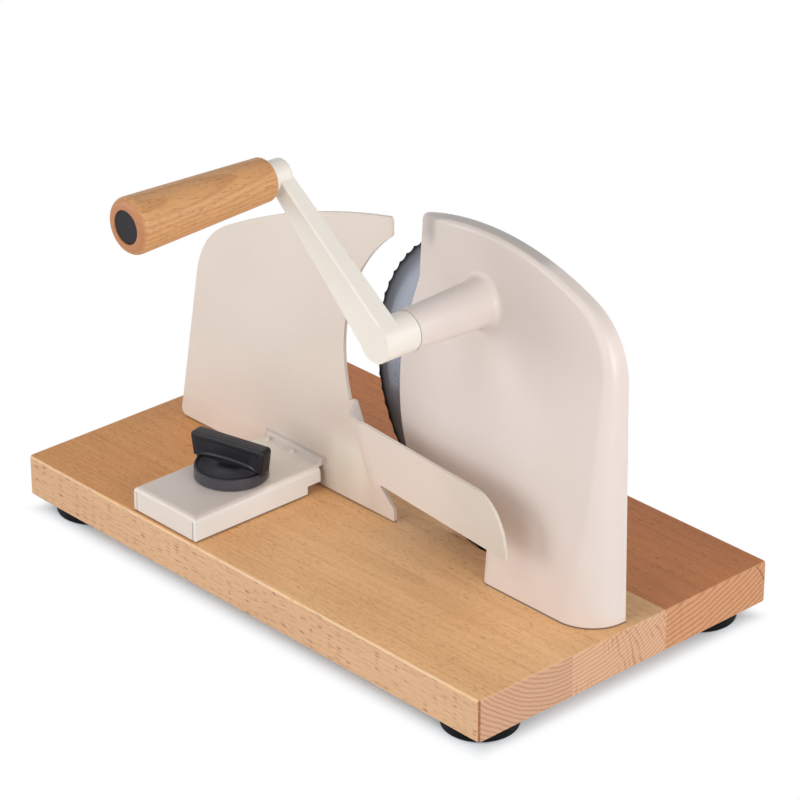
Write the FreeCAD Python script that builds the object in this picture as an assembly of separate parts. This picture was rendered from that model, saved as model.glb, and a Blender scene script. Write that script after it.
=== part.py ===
"""Hand-cranked bread slicer on a beech board.

All lengths are millimetres.  The pieces are laid out from the centre of the board's top face
(X to the right along the board, Y to the back, Z up) and are moved at the end, so that the
finished part stands on Z = 0 with its origin under the middle of its bounding box.
"""
import FreeCAD, Part
import os
from math import acos, asin, cos, hypot, pi, radians, sin, sqrt, tan

V = FreeCAD.Vector

# ---------------------------------------------------------------- clearances
running_gap = 0.05           # radial, shaft in bush
slip_gap = 0.3               # flat faces and curved faces that pass each other
screw_gap = 0.2              # radial, screw shank in its clearance hole
thread_gap = 0.02            # radial, screw in its own thread
seat_gap = 0.02              # radial, pressed or glued seats
axle_seat_gap = 0.4          # between the fixed axle's collar and the blade gear
overshoot = 1.0              # cutters run past the faces they cut by this
smallest_round = 0.5

# ---------------------------------------------------------------- board and feet
board_length = 360.0
board_width = 210.0
board_thickness = 24.0
board_edge_round = 1.5
board_corner_round = 3.0
front_stave_width = 65.0
middle_stave_width = 68.0
groove_side_gap = 2.0        # saw groove beside the blade
groove_depth_gap = 2.5       # saw groove beyond the blade's teeth

foot_radius = 20.4
foot_height = 9.0
foot_inset = 25.0
foot_edge_round = 2.0
foot_screw_radius = 2.0
foot_screw_head_radius = 4.5
foot_screw_head_height = 2.6
foot_screw_length = 16.0
foot_web = 2.2               # rubber between screw head and board

# ---------------------------------------------------------------- blade and gears
blade_radius = 92.4
blade_thickness = 1.6
blade_front_y = 5.5
blade_axis_x = 77.0
blade_axis_z = 89.0
blade_tooth_count = 70
blade_tooth_depth = 1.0
blade_bevel_width = 9.0
blade_edge_thickness = 0.4
blade_bore_radius = 10.0
blade_screw_circle = 32.0
blade_screw_count = 3
blade_screw_radius = 2.0
blade_screw_head_radius = 3.6

gear_module = 2.0
gear_teeth = 41
pinion_teeth = 20
gear_width = 4.0
gear_pressure_angle = 20.0
gear_backlash = 0.35
gear_hub_radius = 24.0
gear_front_y = -1.2

hub_bush_wall = 2.0
axle_radius = 5.0
axle_stem_radius = 4.0
axle_stem_length = 8.0
axle_end_play = 0.3
retaining_washer_radius = 12.0
retaining_washer_thickness = 1.5
retaining_screw_radius = 3.0
retaining_screw_length = 8.0
retaining_head_radius = 8.0
retaining_head_height = 3.2
retaining_head_round = 0.8
retaining_slot_width = 1.6
retaining_slot_depth = 1.6

# ---------------------------------------------------------------- housing
wall = 3.0
housing_floor = 4.0          # wall that rests on the board
housing_left_x = 23.8        # at the crown
housing_left_draft = 5.5     # degrees, the left side leans out towards the top
housing_right_x = 174.0      # at the base
housing_right_draft = 1.2    # degrees, the right side leans in towards the top
housing_base_left_x = 93.0
housing_crest_x = 75.0
housing_crest_z = 187.2
housing_top_radius = 170.0
housing_lobe_x = 72.0
housing_lobe_z = 92.0
housing_lobe_radius = 61.2
housing_lobe_slope = 21.5    # degrees from vertical, line from the shoulder to the lobe
housing_rim_y = 4.0
housing_face_base_y = -21.0
housing_face_lean = 5.3      # degrees, the face leans back towards the top
housing_top_left_round = 4.0
housing_top_right_round = 42.0
housing_shoulder_round = 10.0
housing_heel_round = 7.0
face_round_left = 0.8
face_round_top = 3.2
face_round_corner = 6.5
face_round_middle = 10.5
face_round_middle_z = 62.0
face_round_base = 23.0
face_round_base_left = 5.5
ramp_start_x = 56.0          # the face curves back from here to the left
ramp_radius = 91.5
axle_boss_radius = 12.0

base_boss_radius = 7.0
base_boss_height = 22.0
base_boss_left_x = 108.0
base_boss_right_x = 156.0
base_boss_y = -6.0
housing_screw_radius = 2.5
housing_screw_head_radius = 4.75
housing_screw_head_height = 3.2
housing_screw_recess = 6.0
housing_screw_length = 34.0

# ---------------------------------------------------------------- crank
crank_boss_length = 50.4
crank_boss_tip_radius = 10.9
crank_boss_root_radius = 12.9
crank_boss_root_round = 3.4
crank_shaft_radius = 5.0
crank_shaft_flat = 4.0       # half width across the two flats under the pinion
bush_wall = 2.0
bush_length = 14.0
inner_boss_radius = 10.0
thrust_washer_radius = 9.0
thrust_washer_thickness = 0.7
shaft_tail_length = 1.9
clip_radius = 7.5
clip_thickness = 0.8
clip_groove_depth = 1.0
clip_mouth_width = 5.4

crank_radius = 100.7
crank_rest_angle = 139.4     # degrees from +X towards +Z
hub_radius = 10.6
hub_length = 21.9
hub_seam = 0.3
hub_socket_floor = 3.2
arm_thickness_hub = 11.5
arm_thickness_tip = 9.0
arm_tip_half_width = 4.8
arm_edge_round = 1.2
tip_boss_radius = 8.1
tip_boss_front = 3.1         # tip boss stands this far in front of the arm
tip_boss_round = 2.5
set_screw_radius = 2.5
set_screw_length = 5.0
set_screw_angle = 100.0      # degrees from the arm around the hub

# ---------------------------------------------------------------- handle
handle_length = 89.3
handle_arm_end_radius = 11.5
handle_free_end_radius = 14.9
handle_arm_end_round = 2.5
handle_free_end_round = 4.0
handle_cap_radius = 8.8
handle_cap_thickness = 5.0
handle_cap_recess = 0.5
handle_cap_round = 0.8
handle_pin_radius = 4.0
handle_pin_grip = 64.0       # length of the pin inside the handle
handle_pin_seat = 9.5        # length of the pin inside the arm's tip boss
handle_sleeve_wall = 1.5
handle_washer_radius = 7.5
handle_washer_thickness = 1.0
handle_screw_radius = 2.5
handle_screw_length = 10.0
handle_screw_head_radius = 4.5
handle_screw_head_height = 3.0
handle_screw_head_round = 1.0

# ---------------------------------------------------------------- gauge plate
sheet = 2.0
plate_front_y = -10.0
plate_lift = 0.5
plate_left_x = -161.5
plate_shoulder_x = -139.8
plate_shoulder_z = 118.2
plate_shoulder_round = 50.0
plate_crown_x = -42.4
plate_crown_z = 162.2
plate_tip_x = 14.1
plate_tip_z = 177.2
plate_tip_round = 2.0
plate_corner_round = 4.0
mouth_axis_x = 74.0
mouth_axis_z = 89.6
mouth_radius = 97.5
slit_x = 1.9
slit_z = 20.8
toe_x = 16.0
toe_z = 7.6
toe_round = 2.5

guard_top_x = -17.2
guard_top_z = 61.3
guard_step_angle = 54.0
guard_root_radius = 5.5       # bend out of the plate
guard_step_radius = 23.5      # bend into the strip
guard_step_straight = 11.3
guard_yaw = 3.5
guard_flat_bottom_x = 28.9
guard_flat_bottom_z = 35.0
guard_tip_x = 127.4
guard_tip_z = 31.8
guard_flat_top_x = 15.1
guard_flat_top_z = 65.9
guard_end_x = 103.6
guard_end_z = 63.8
guard_nose_fullness = 0.55

hood_width = 51.0
hood_centre_x = -64.1
hood_front_y = -102.5
hood_height = 14.5
hood_round = 3.0
hood_notch_y = -23.3
hood_notch_height = 5.0
hood_bend_radius = 3.5       # inside radius of the bend up into the plate
hood_relief = 4.0            # between the side flanges and the plate
hood_flange_round = 2.4      # rear top corner of the side flanges
hood_seam = 0.5
hood_bend_edge_round = 0.8
hood_bend_inset = 2.6        # between the hood's sides and the bend
hood_mouth_inset = 9.0       # between the hood's sides and the plate's opening behind it
bead_length = 2.0
bead_radius = 1.3
bead_spacing = 20.2
bead_offset_x = -8.0
bead_sink = 0.3              # centre of a bead under the hood's top
bead_setback = 0.4           # centre of a bead in front of the bend

gauge_travel_thin = 12.0     # towards the blade, thinnest slice
gauge_travel_thick = 3.0     # towards the user, thickest slice

# ---------------------------------------------------------------- gauge clamp
clamp_y = -55.4
block_side_gap = 0.35
block_rear_y = -25.0
block_lip = 2.4
block_corner_round = 2.0
block_top_round = 1.5
block_screw_radius = 2.0
block_screw_head_radius = 4.0
block_screw_length = 24.0
block_screw_inset_x = 8.0
block_screw_inset_y = 8.0

clamp_bolt_radius = 3.0
clamp_head_width = 14.0
clamp_head_length = 20.0
clamp_head_thickness = 3.0

knob_radius = 20.4
knob_disc_height = 6.9
knob_disc_round = 1.2
knob_wing_base_length = 45.0
knob_wing_top_length = 49.0
knob_wing_height = 14.5
knob_wing_width = 8.4
knob_wing_end_round = 2.6
knob_wing_top_round = 1.0
knob_scoop_depth = 2.2        # finger scoop, measured where the wing meets the foot
knob_scoop_length = 39.0
knob_scoop_margin = 2.4       # full-width bar above the scoop
knob_rest_angle = 13.5       # degrees from +X towards +Y
knob_nut_radius = 6.0
knob_nut_height = 5.0
knob_roof = 0.6               # plastic between the bolt's end and the top of the foot
clamp_washer_radius = 12.0
clamp_washer_thickness = 1.2

# ---------------------------------------------------------------- derived places
board_front_y = -board_width / 2
board_back_y = board_width / 2
blade_back_y = blade_front_y + blade_thickness
crank_axis_x = blade_axis_x
crank_axis_z = blade_axis_z + gear_module * (gear_teeth + pinion_teeth) / 2
gear_back_y = gear_front_y + gear_width
gear_dedendum = 1.25 * gear_module
face_slope = tan(radians(housing_face_lean))


def face_y(z, depth=0.0):
    """Y of the housing's leaning face at height z, moved inwards by depth."""
    return housing_face_base_y + z * face_slope + depth / cos(radians(housing_face_lean))


boss_tip_y = face_y(crank_axis_z) - crank_boss_length
hub_rear_y = boss_tip_y - hub_seam
arm_front_y = hub_rear_y - hub_length
tip_boss_front_y = arm_front_y - tip_boss_front
arm_direction = V(cos(radians(crank_rest_angle)), 0, sin(radians(crank_rest_angle)))
handle_axis_x = crank_axis_x + crank_radius * arm_direction.x
handle_axis_z = crank_axis_z + crank_radius * arm_direction.z
handle_rear_y = tip_boss_front_y - slip_gap
handle_front_y = handle_rear_y - handle_length
inner_boss_y = gear_front_y - thrust_washer_thickness - 2 * running_gap

hood_left_x = hood_centre_x - hood_width / 2
hood_right_x = hood_centre_x + hood_width / 2
hood_ceiling_z = hood_height - sheet
block_top_z = hood_ceiling_z - slip_gap
block_front_y = hood_front_y + sheet + gauge_travel_thin + slip_gap
block_half_width = hood_width / 2 - sheet - block_side_gap
knob_bottom_z = hood_height + slip_gap

floor_z = -board_thickness - foot_height
origin_shift = V(0, -(board_back_y + handle_front_y) / 2, -floor_z)


# ---------------------------------------------------------------- helpers
def box(x0, x1, y0, y1, z0, z1):
    """Box between two corners."""
    return Part.makeBox(x1 - x0, y1 - y0, z1 - z0, V(x0, y0, z0))


def cyl_y(x, z, radius, y0, y1):
    """Cylinder along Y."""
    return Part.makeCylinder(radius, y1 - y0, V(x, y0, z), V(0, 1, 0))


def cyl_z(x, y, radius, z0, z1):
    """Cylinder along Z."""
    return Part.makeCylinder(radius, z1 - z0, V(x, y, z0))


def cone_y(x, z, y0, radius0, y1, radius1):
    """Cone along Y with radius0 at y0 and radius1 at y1."""
    return Part.makeCone(radius0, radius1, y1 - y0, V(x, y0, z), V(0, 1, 0))


def cone_z(x, y, z0, radius0, z1, radius1):
    """Cone along Z with radius0 at z0 and radius1 at z1."""
    return Part.makeCone(radius0, radius1, z1 - z0, V(x, y, z0))


def line(a, b):
    """Straight edge."""
    return Part.LineSegment(a, b).toShape()


def arc(a, middle, b):
    """Circular edge through three points."""
    return Part.Arc(a, middle, b).toShape()


def face_of(edges):
    """Flat face bounded by edges."""
    return Part.Face(Part.Wire(Part.__sortEdges__(edges)))


def prism(edges, direction):
    """Solid swept from the flat face bounded by edges."""
    return face_of(edges).extrude(direction)


def polygon(points):
    """Edges of a closed polygon."""
    return [line(a, b) for a, b in zip(points, points[1:] + points[:1])]


def fillet(shape, radius, test):
    """Round the edges for which test(edge) is true."""
    chosen = [edge for edge in shape.Edges if test(edge)]
    return shape.makeFillet(radius, chosen)


def near(value, target, tolerance=0.01):
    """True when value lies on target."""
    return abs(value - target) < tolerance


def mid(edge):
    """Middle point of an edge."""
    first, last = edge.ParameterRange
    return edge.valueAt((first + last) / 2)


def is_along(edge, direction):
    """True for a straight edge along direction."""
    if not isinstance(edge.Curve, Part.Line):
        return False
    return abs(abs(edge.Curve.Direction.dot(direction)) - 1) < 1e-6


def turned(shape, centre, axis, angle):
    """Copy of shape turned about an axis through centre."""
    copy = shape.copy()
    copy.rotate(centre, axis, angle)
    return copy


def variable_fillet(shape, rules):
    """Round edges with a radius that runs from one end to the other.

    rules is a list of (edge number from 1, start radius, end radius).
    """
    document = FreeCAD.newDocument("rounding")
    source = document.addObject("Part::Feature", "source")
    source.Shape = shape
    rounded = document.addObject("Part::Fillet", "rounded")
    rounded.Base = source
    rounded.Edges = rules
    document.recompute()
    result = rounded.Shape.copy()
    FreeCAD.closeDocument(document.Name)
    return result.Solids[0]


# ---------------------------------------------------------------- board
def board_blank():
    """Whole board with rounded corners, before it is split into staves."""
    half_length = board_length / 2
    blank = box(-half_length, half_length, board_front_y, board_back_y, -board_thickness, 0)
    blank = fillet(blank, board_corner_round, lambda e: is_along(e, V(0, 0, 1)))
    rim = lambda e: near(mid(e).z, 0) or near(mid(e).z, -board_thickness)
    return fillet(blank, board_edge_round, rim)


def foot_places():
    """Centres of the four feet."""
    x = board_length / 2 - foot_inset
    y = board_width / 2 - foot_inset
    return [(-x, -y), (x, -y), (-x, y), (x, y)]


def housing_screw_places():
    """Centres of the screws that hold the housing."""
    return [(base_boss_left_x, base_boss_y), (base_boss_right_x, base_boss_y)]


def block_screw_places():
    """Centres of the screws that hold the guide block."""
    x = block_half_width - block_screw_inset_x
    front = block_front_y + block_screw_inset_y
    rear = block_rear_y - block_screw_inset_y
    return [(hood_centre_x + side * x, y) for side in (-1, 1) for y in (front, rear)]


def board_cuts():
    """Everything that is drilled or sawn out of the board."""
    bottom = -board_thickness
    cuts = []
    for x, y in foot_places():
        depth = foot_screw_length - foot_web
        cuts.append(cyl_z(x, y, foot_screw_radius + thread_gap, bottom, bottom + depth + slip_gap))
    for x, y in housing_screw_places():
        cuts.append(cyl_z(x, y, housing_screw_radius + screw_gap, bottom, 0))
        head = housing_screw_head_radius + screw_gap
        cuts.append(cyl_z(x, y, head, bottom, bottom + housing_screw_recess))
    for x, y in block_screw_places():
        tip = block_top_z - block_screw_length
        cuts.append(cyl_z(x, y, block_screw_radius + thread_gap, tip - slip_gap, 0))
    groove = cyl_y(
        blade_axis_x, blade_axis_z, blade_radius + groove_depth_gap,
        blade_front_y - groove_side_gap, blade_back_y + groove_side_gap)
    cuts.append(groove)
    return Part.makeCompound(cuts)


def board_staves():
    """Three glued staves, from front to back."""
    blank = board_blank()
    cuts = board_cuts()
    joints = [board_front_y, board_front_y + front_stave_width,
              board_front_y + front_stave_width + middle_stave_width, board_back_y]
    staves = []
    for front, back in zip(joints, joints[1:]):
        slab = box(-board_length, board_length, front, back, -board_thickness, 0)
        staves.append(blank.common(slab).cut(cuts).Solids[0])
    return staves


def rubber_feet():
    """Four round rubber feet with a countersunk screw hole."""
    top = -board_thickness
    feet = []
    for x, y in foot_places():
        foot = cyl_z(x, y, foot_radius, top - foot_height, top)
        foot = fillet(foot, foot_edge_round, lambda e: near(mid(e).z, top - foot_height))
        foot = foot.cut(cyl_z(x, y, foot_screw_radius + screw_gap, top - foot_height, top))
        recess = foot_screw_head_radius + screw_gap
        foot = foot.cut(cyl_z(x, y, recess, top - foot_height, top - foot_web))
        feet.append(foot)
    return feet


def foot_screws():
    """Four pan-head screws through the feet."""
    seat = -board_thickness - foot_web
    screws = []
    for x, y in foot_places():
        shank = cyl_z(x, y, foot_screw_radius, seat, seat + foot_screw_length)
        head = cyl_z(x, y, foot_screw_head_radius, seat - foot_screw_head_height, seat)
        screws.append(shank.fuse(head).removeSplitter())
    return screws


# ---------------------------------------------------------------- housing
def housing_blank(inset, floor, rim_y):
    """Solid outer form of the housing, or the form of its hollow when inset is the wall.

    The outline is drawn in the XZ plane, swept along Y, cut by the leaning face and by the
    ramp, and rounded along the face's edge.
    """
    left = housing_left_x + inset
    left_slope = tan(radians(housing_left_draft))
    draft = radians(housing_right_draft)
    right = V(housing_right_x - inset / cos(draft), 0, 0)
    base_left = housing_base_left_x + inset
    lobe = housing_lobe_radius - inset
    crown = housing_top_radius - inset
    crown_centre_z = housing_crest_z - housing_top_radius
    slope = radians(housing_lobe_slope)
    depth = rim_y - housing_face_base_y + overshoot

    def crown_z(x):
        return crown_centre_z + sqrt(crown ** 2 - (x - housing_crest_x) ** 2)

    def lobe_at(angle):
        return V(housing_lobe_x + lobe * cos(angle), 0, housing_lobe_z + lobe * sin(angle))

    touch = lobe_at(pi - slope)
    shoulder_z = (left + housing_crest_z * left_slope - touch.x + touch.z * tan(slope)) \
        / (tan(slope) + left_slope)
    shoulder = V(touch.x + (shoulder_z - touch.z) * tan(slope), 0, shoulder_z)
    heel = lobe_at(-acos((base_left - housing_lobe_x) / lobe))
    crown_left = left + (housing_crest_z - crown_z(left)) * left_slope
    top_left = V(crown_left, 0, crown_z(crown_left))
    upwards = V(-sin(draft), 0, cos(draft))
    offset = right - V(housing_crest_x, 0, crown_centre_z)
    along = -offset.dot(upwards)
    top_right = right + upwards * (along + sqrt(along ** 2 - offset.dot(offset) + crown ** 2))
    top_middle_x = (left + top_right.x) / 2
    at_height = lambda z: right + upwards * (z / upwards.z)
    edges = [
        line(V(base_left, 0, floor), heel),
        arc(heel, lobe_at(radians(225)), touch),
        line(touch, shoulder),
        line(shoulder, top_left),
        arc(top_left, V(top_middle_x, 0, crown_z(top_middle_x)), top_right),
        line(top_right, at_height(face_round_middle_z)),
        line(at_height(face_round_middle_z), at_height(floor)),
        line(at_height(floor), V(base_left, 0, floor)),
    ]
    blank = prism(edges, V(0, depth, 0))
    blank.translate(V(0, rim_y - depth, 0))
    corners = [(top_left, max(housing_top_left_round - inset, smallest_round)),
               (top_right, housing_top_right_round - inset),
               (shoulder, housing_shoulder_round + inset),
               (heel, housing_heel_round + inset)]
    for corner, radius in corners:
        blank = fillet(blank, radius, lambda e: is_along(e, V(0, 1, 0))
                       and near(mid(e).x, corner.x) and near(mid(e).z, corner.z))

    high = housing_crest_z + overshoot
    side = polygon([V(0, face_y(floor, inset), floor), V(0, rim_y, floor),
                    V(0, rim_y, high), V(0, face_y(high, inset), high)])
    leaning = prism(side, V(board_length, 0, 0))
    blank = blank.common(leaning)

    high += overshoot
    low = floor - overshoot
    ramp_left = housing_lobe_x - lobe - overshoot
    front = box(ramp_left, ramp_start_x, rim_y - depth - overshoot, rim_y, low, high)
    outwards = V(0, -cos(radians(housing_face_lean)), sin(radians(housing_face_lean)))
    axis_point = V(ramp_start_x, face_y(0), 0) - outwards * ramp_radius
    axis = V(0, outwards.z, -outwards.y)
    bend = Part.makeCylinder(ramp_radius - inset, 3 * high, axis_point - axis * high, axis)
    ramp = front.cut(bend)
    blank = blank.cut(ramp).Solids[0]
    return round_face(blank, inset, floor, rim_y)


def face_round(point, inset):
    """Radius of the face's edge at a point: small at the left, growing to the right and down."""
    corner_start_x = housing_right_x - 0.6 * housing_top_right_round
    corner_end_z = housing_crest_z - 1.3 * housing_top_right_round
    if point.x > corner_start_x:
        if point.z < 0.5 * face_round_middle_z:
            return face_round_base - inset
        if point.z < corner_end_z:
            return face_round_middle - inset
        if point.x > housing_right_x - 0.2 * housing_top_right_round:
            return face_round_corner - inset / 2
        return face_round_top - inset / 2
    if near(point.x, housing_base_left_x + inset, 0.5):
        return face_round_base_left - inset
    if point.x < ramp_start_x - overshoot:
        return face_round_left
    return face_round_top - inset / 2


def round_face(blank, inset, floor, rim_y):
    """Round the outline's edge on the front, all the way round except along the floor."""
    rules = []
    for number, edge in enumerate(blank.Edges, 1):
        points = [vertex.Point for vertex in edge.Vertexes] + [mid(edge)]
        on_rim = all(near(point.y, rim_y) for point in points)
        on_floor = all(near(point.z, floor) for point in points)
        on_bend = all(near(point.x, ramp_start_x) for point in points)
        if on_rim or on_floor or on_bend or is_along(edge, V(0, 1, 0)):
            continue
        first, last = edge.ParameterRange
        start = edge.valueAt(first)
        end = edge.valueAt(last)
        rules.append((number, face_round(start, inset), face_round(end, inset)))
    return variable_fillet(blank, rules)


def housing_shell():
    """Cast shell with the crank boss, the axle boss and two screw bosses."""
    outer = housing_blank(0, 0, housing_rim_y)
    hollow = housing_blank(wall, housing_floor, housing_rim_y + overshoot)
    x, z = crank_axis_x, crank_axis_z

    boss = cone_y(x, z, boss_tip_y, crank_boss_tip_radius, face_y(z) + wall, crank_boss_root_radius)
    shell = outer.fuse(boss).removeSplitter()
    reach = crank_boss_root_radius + 1
    at_root = lambda e: (hypot(mid(e).x - x, mid(e).z - z) < reach
                         and abs(mid(e).y - face_y(mid(e).z)) < 0.3)
    shell = fillet(shell, crank_boss_root_round, at_root)
    shell = shell.cut(hollow)

    inner_boss = cyl_y(x, z, inner_boss_radius, face_y(z) + wall / 2, inner_boss_y)
    axle_boss = cyl_y(blade_axis_x, blade_axis_z, axle_boss_radius,
                      face_y(blade_axis_z) + wall / 2, gear_front_y - axle_seat_gap)
    shell = shell.fuse([inner_boss, axle_boss])
    for px, py in housing_screw_places():
        shell = shell.fuse(cyl_z(px, py, base_boss_radius, wall, base_boss_height))

    cuts = [cyl_y(x, z, crank_shaft_radius + bush_wall + seat_gap, boss_tip_y, inner_boss_y)]
    stem_y = gear_front_y - axle_seat_gap - axle_stem_length
    cuts.append(cyl_y(blade_axis_x, blade_axis_z, axle_stem_radius + seat_gap, stem_y, housing_rim_y))
    tip = -board_thickness + housing_screw_recess + housing_screw_length
    for px, py in housing_screw_places():
        cuts.append(cyl_z(px, py, housing_screw_radius + thread_gap, 0, tip + slip_gap))
    return shell.cut(Part.makeCompound(cuts)).Solids[0]


def housing_screws():
    """Long screws from under the board into the housing's bosses."""
    seat = -board_thickness + housing_screw_recess
    screws = []
    for x, y in housing_screw_places():
        shank = cyl_z(x, y, housing_screw_radius, seat, seat + housing_screw_length)
        head = cyl_z(x, y, housing_screw_head_radius, seat - housing_screw_head_height, seat)
        screws.append(shank.fuse(head).removeSplitter())
    return screws


# ---------------------------------------------------------------- blade and gears
def spur_gear(teeth, centre, phase):
    """Involute spur gear between gear_front_y and gear_back_y.

    phase is the angle of one tooth's middle, in degrees from +X towards +Z.
    """
    pitch = gear_module * teeth / 2
    base = pitch * cos(radians(gear_pressure_angle))
    tip = pitch + gear_module
    root = pitch - gear_dedendum
    involute = lambda r: tan(acos(base / r)) - acos(base / r)
    half = pi / (2 * teeth) - gear_backlash / (4 * pitch) + involute(pitch)
    low = max(base, root)
    radii = [low + (tip - low) * step / 4 for step in range(5)]

    def at(radius, angle):
        return V(centre.x + radius * cos(angle), gear_front_y, centre.z + radius * sin(angle))

    edges = []
    for tooth in range(teeth):
        axis = radians(phase) + 2 * pi * tooth / teeth
        following = axis + 2 * pi / teeth
        rising = [at(r, axis - half + involute(r)) for r in radii]
        falling = [at(r, axis + half - involute(r)) for r in reversed(radii)]
        for flank in (rising, falling):
            curve = Part.BSplineCurve()
            curve.interpolate(flank)
            edges.append(curve.toShape())
        edges.append(line(rising[-1], falling[0]))
        leave = axis + half - involute(low)
        enter = following - half + involute(low)
        foot, head = falling[-1], at(low, enter)
        if low > root + 1e-6:
            edges.append(line(falling[-1], at(root, leave)))
            edges.append(line(at(root, enter), at(low, enter)))
            foot, head = at(root, leave), at(root, enter)
        edges.append(line(foot, head))
    return prism(edges, V(0, gear_width, 0))


def blade_screw_places():
    """Points on the blade where its screws go through, as (x, z)."""
    places = []
    for number in range(blade_screw_count):
        angle = radians(90) + 2 * pi * number / blade_screw_count
        places.append((blade_axis_x + blade_screw_circle / 2 * cos(angle),
                       blade_axis_z + blade_screw_circle / 2 * sin(angle)))
    return places


def blade():
    """Serrated disc with a ground bevel on its front."""
    x, z = blade_axis_x, blade_axis_z
    core = blade_radius - blade_bevel_width
    profile = polygon([
        V(0, blade_front_y, 0), V(core, blade_front_y, 0),
        V(blade_radius, blade_back_y - blade_edge_thickness, 0), V(blade_radius, blade_back_y, 0),
        V(0, blade_back_y, 0)])
    disc = face_of(profile).revolve(V(0, 0, 0), V(0, 1, 0), 360)
    disc.translate(V(x, 0, z))
    step = 2 * pi / blade_tooth_count
    front = blade_front_y - overshoot
    at = lambda radius, angle: V(x + radius * cos(angle), front, z + radius * sin(angle))
    scallops = []
    for tooth in range(blade_tooth_count):
        start = tooth * step
        scallops.append(arc(at(blade_radius, start),
                            at(blade_radius - blade_tooth_depth, start + step / 2),
                            at(blade_radius, start + step)))
    outline = prism(scallops, V(0, blade_thickness + 2 * overshoot, 0))
    disc = disc.common(outline)
    cuts = [cyl_y(x, z, blade_bore_radius + seat_gap, blade_front_y, blade_back_y)]
    for px, pz in blade_screw_places():
        cuts.append(cyl_y(px, pz, blade_screw_radius + seat_gap, blade_front_y, blade_back_y))
        cuts.append(cone_y(px, pz, blade_front_y, blade_screw_radius + seat_gap,
                           blade_back_y, blade_screw_head_radius + seat_gap))
    return disc.cut(Part.makeCompound(cuts)).Solids[0]


def blade_gear():
    """Driven gear with the hub that carries the blade."""
    x, z = blade_axis_x, blade_axis_z
    gear = spur_gear(gear_teeth, V(x, 0, z), 90)
    gear = gear.fuse(cyl_y(x, z, gear_hub_radius, gear_back_y, blade_front_y))
    gear = gear.fuse(cyl_y(x, z, blade_bore_radius, blade_front_y, blade_back_y))
    cuts = [cyl_y(x, z, axle_radius + running_gap + hub_bush_wall, gear_front_y, blade_back_y)]
    for px, pz in blade_screw_places():
        cuts.append(cyl_y(px, pz, blade_screw_radius + thread_gap, gear_front_y, blade_front_y))
    return gear.cut(Part.makeCompound(cuts)).removeSplitter().Solids[0]


def blade_screws():
    """Countersunk screws from the blade's back into the gear."""
    screws = []
    for x, z in blade_screw_places():
        shank = cyl_y(x, z, blade_screw_radius, gear_front_y, blade_front_y)
        head = cone_y(x, z, blade_front_y, blade_screw_radius, blade_back_y, blade_screw_head_radius)
        screws.append(shank.fuse(head).removeSplitter())
    return screws


def hub_bush():
    """Sintered bush pressed into the gear."""
    x, z = blade_axis_x, blade_axis_z
    outside = axle_radius + running_gap + hub_bush_wall
    tube = cyl_y(x, z, outside, gear_front_y, blade_back_y)
    return tube.cut(cyl_y(x, z, axle_radius + running_gap, gear_front_y, blade_back_y))


def blade_axle():
    """Fixed axle with a stem pressed into the housing."""
    x, z = blade_axis_x, blade_axis_z
    seat = gear_front_y - axle_seat_gap
    end = blade_back_y + axle_end_play
    axle = cyl_y(x, z, axle_stem_radius, seat - axle_stem_length + slip_gap, seat)
    axle = axle.fuse(cyl_y(x, z, axle_radius, seat, end)).removeSplitter()
    hole_start = end - retaining_screw_length - overshoot
    return axle.cut(cyl_y(x, z, retaining_screw_radius + thread_gap, hole_start, end))


def retaining_washer():
    """Large washer that keeps the blade on its axle."""
    x, z = blade_axis_x, blade_axis_z
    seat = blade_back_y + axle_end_play
    back = seat + retaining_washer_thickness
    disc = cyl_y(x, z, retaining_washer_radius, seat, back)
    return disc.cut(cyl_y(x, z, retaining_screw_radius + screw_gap, seat, back))


def retaining_screw():
    """Coin-slot screw behind the blade."""
    x, z = blade_axis_x, blade_axis_z
    seat = blade_back_y + axle_end_play + retaining_washer_thickness
    shank_start = blade_back_y + axle_end_play - retaining_screw_length
    head = cyl_y(x, z, retaining_head_radius, seat, seat + retaining_head_height)
    front = seat + retaining_head_height
    head = fillet(head, retaining_head_round, lambda e: near(mid(e).y, front))
    screw = head.fuse(cyl_y(x, z, retaining_screw_radius, shank_start, seat)).removeSplitter()
    slot_floor = seat + retaining_head_height - retaining_slot_depth
    slot = box(x - retaining_head_radius, x + retaining_head_radius,
               slot_floor, seat + retaining_head_height,
               z - retaining_slot_width / 2, z + retaining_slot_width / 2)
    return screw.cut(slot)


# ---------------------------------------------------------------- crank
def crank_bushes():
    """Front and rear bush in the housing's crank boss."""
    x, z = crank_axis_x, crank_axis_z
    outside = crank_shaft_radius + bush_wall
    bushes = []
    for start in (boss_tip_y, inner_boss_y - bush_length):
        tube = cyl_y(x, z, outside, start, start + bush_length)
        bore = cyl_y(x, z, crank_shaft_radius + running_gap, start, start + bush_length)
        bushes.append(tube.cut(bore))
    return bushes


def thrust_washer():
    """Washer between the housing and the pinion."""
    start = inner_boss_y + running_gap
    end = start + thrust_washer_thickness
    disc = cyl_y(crank_axis_x, crank_axis_z, thrust_washer_radius, start, end)
    return disc.cut(cyl_y(crank_axis_x, crank_axis_z, crank_shaft_radius + running_gap, start, end))


def flats(half_width, y0, y1):
    """Two slabs beside the crank axis that leave half_width each side."""
    x, z = crank_axis_x, crank_axis_z
    reach = crank_shaft_radius * 2
    slabs = [box(x - reach, x + reach, y0, y1, z + half_width, z + reach),
             box(x - reach, x + reach, y0, y1, z - reach, z - half_width)]
    return Part.makeCompound(slabs)


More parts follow.
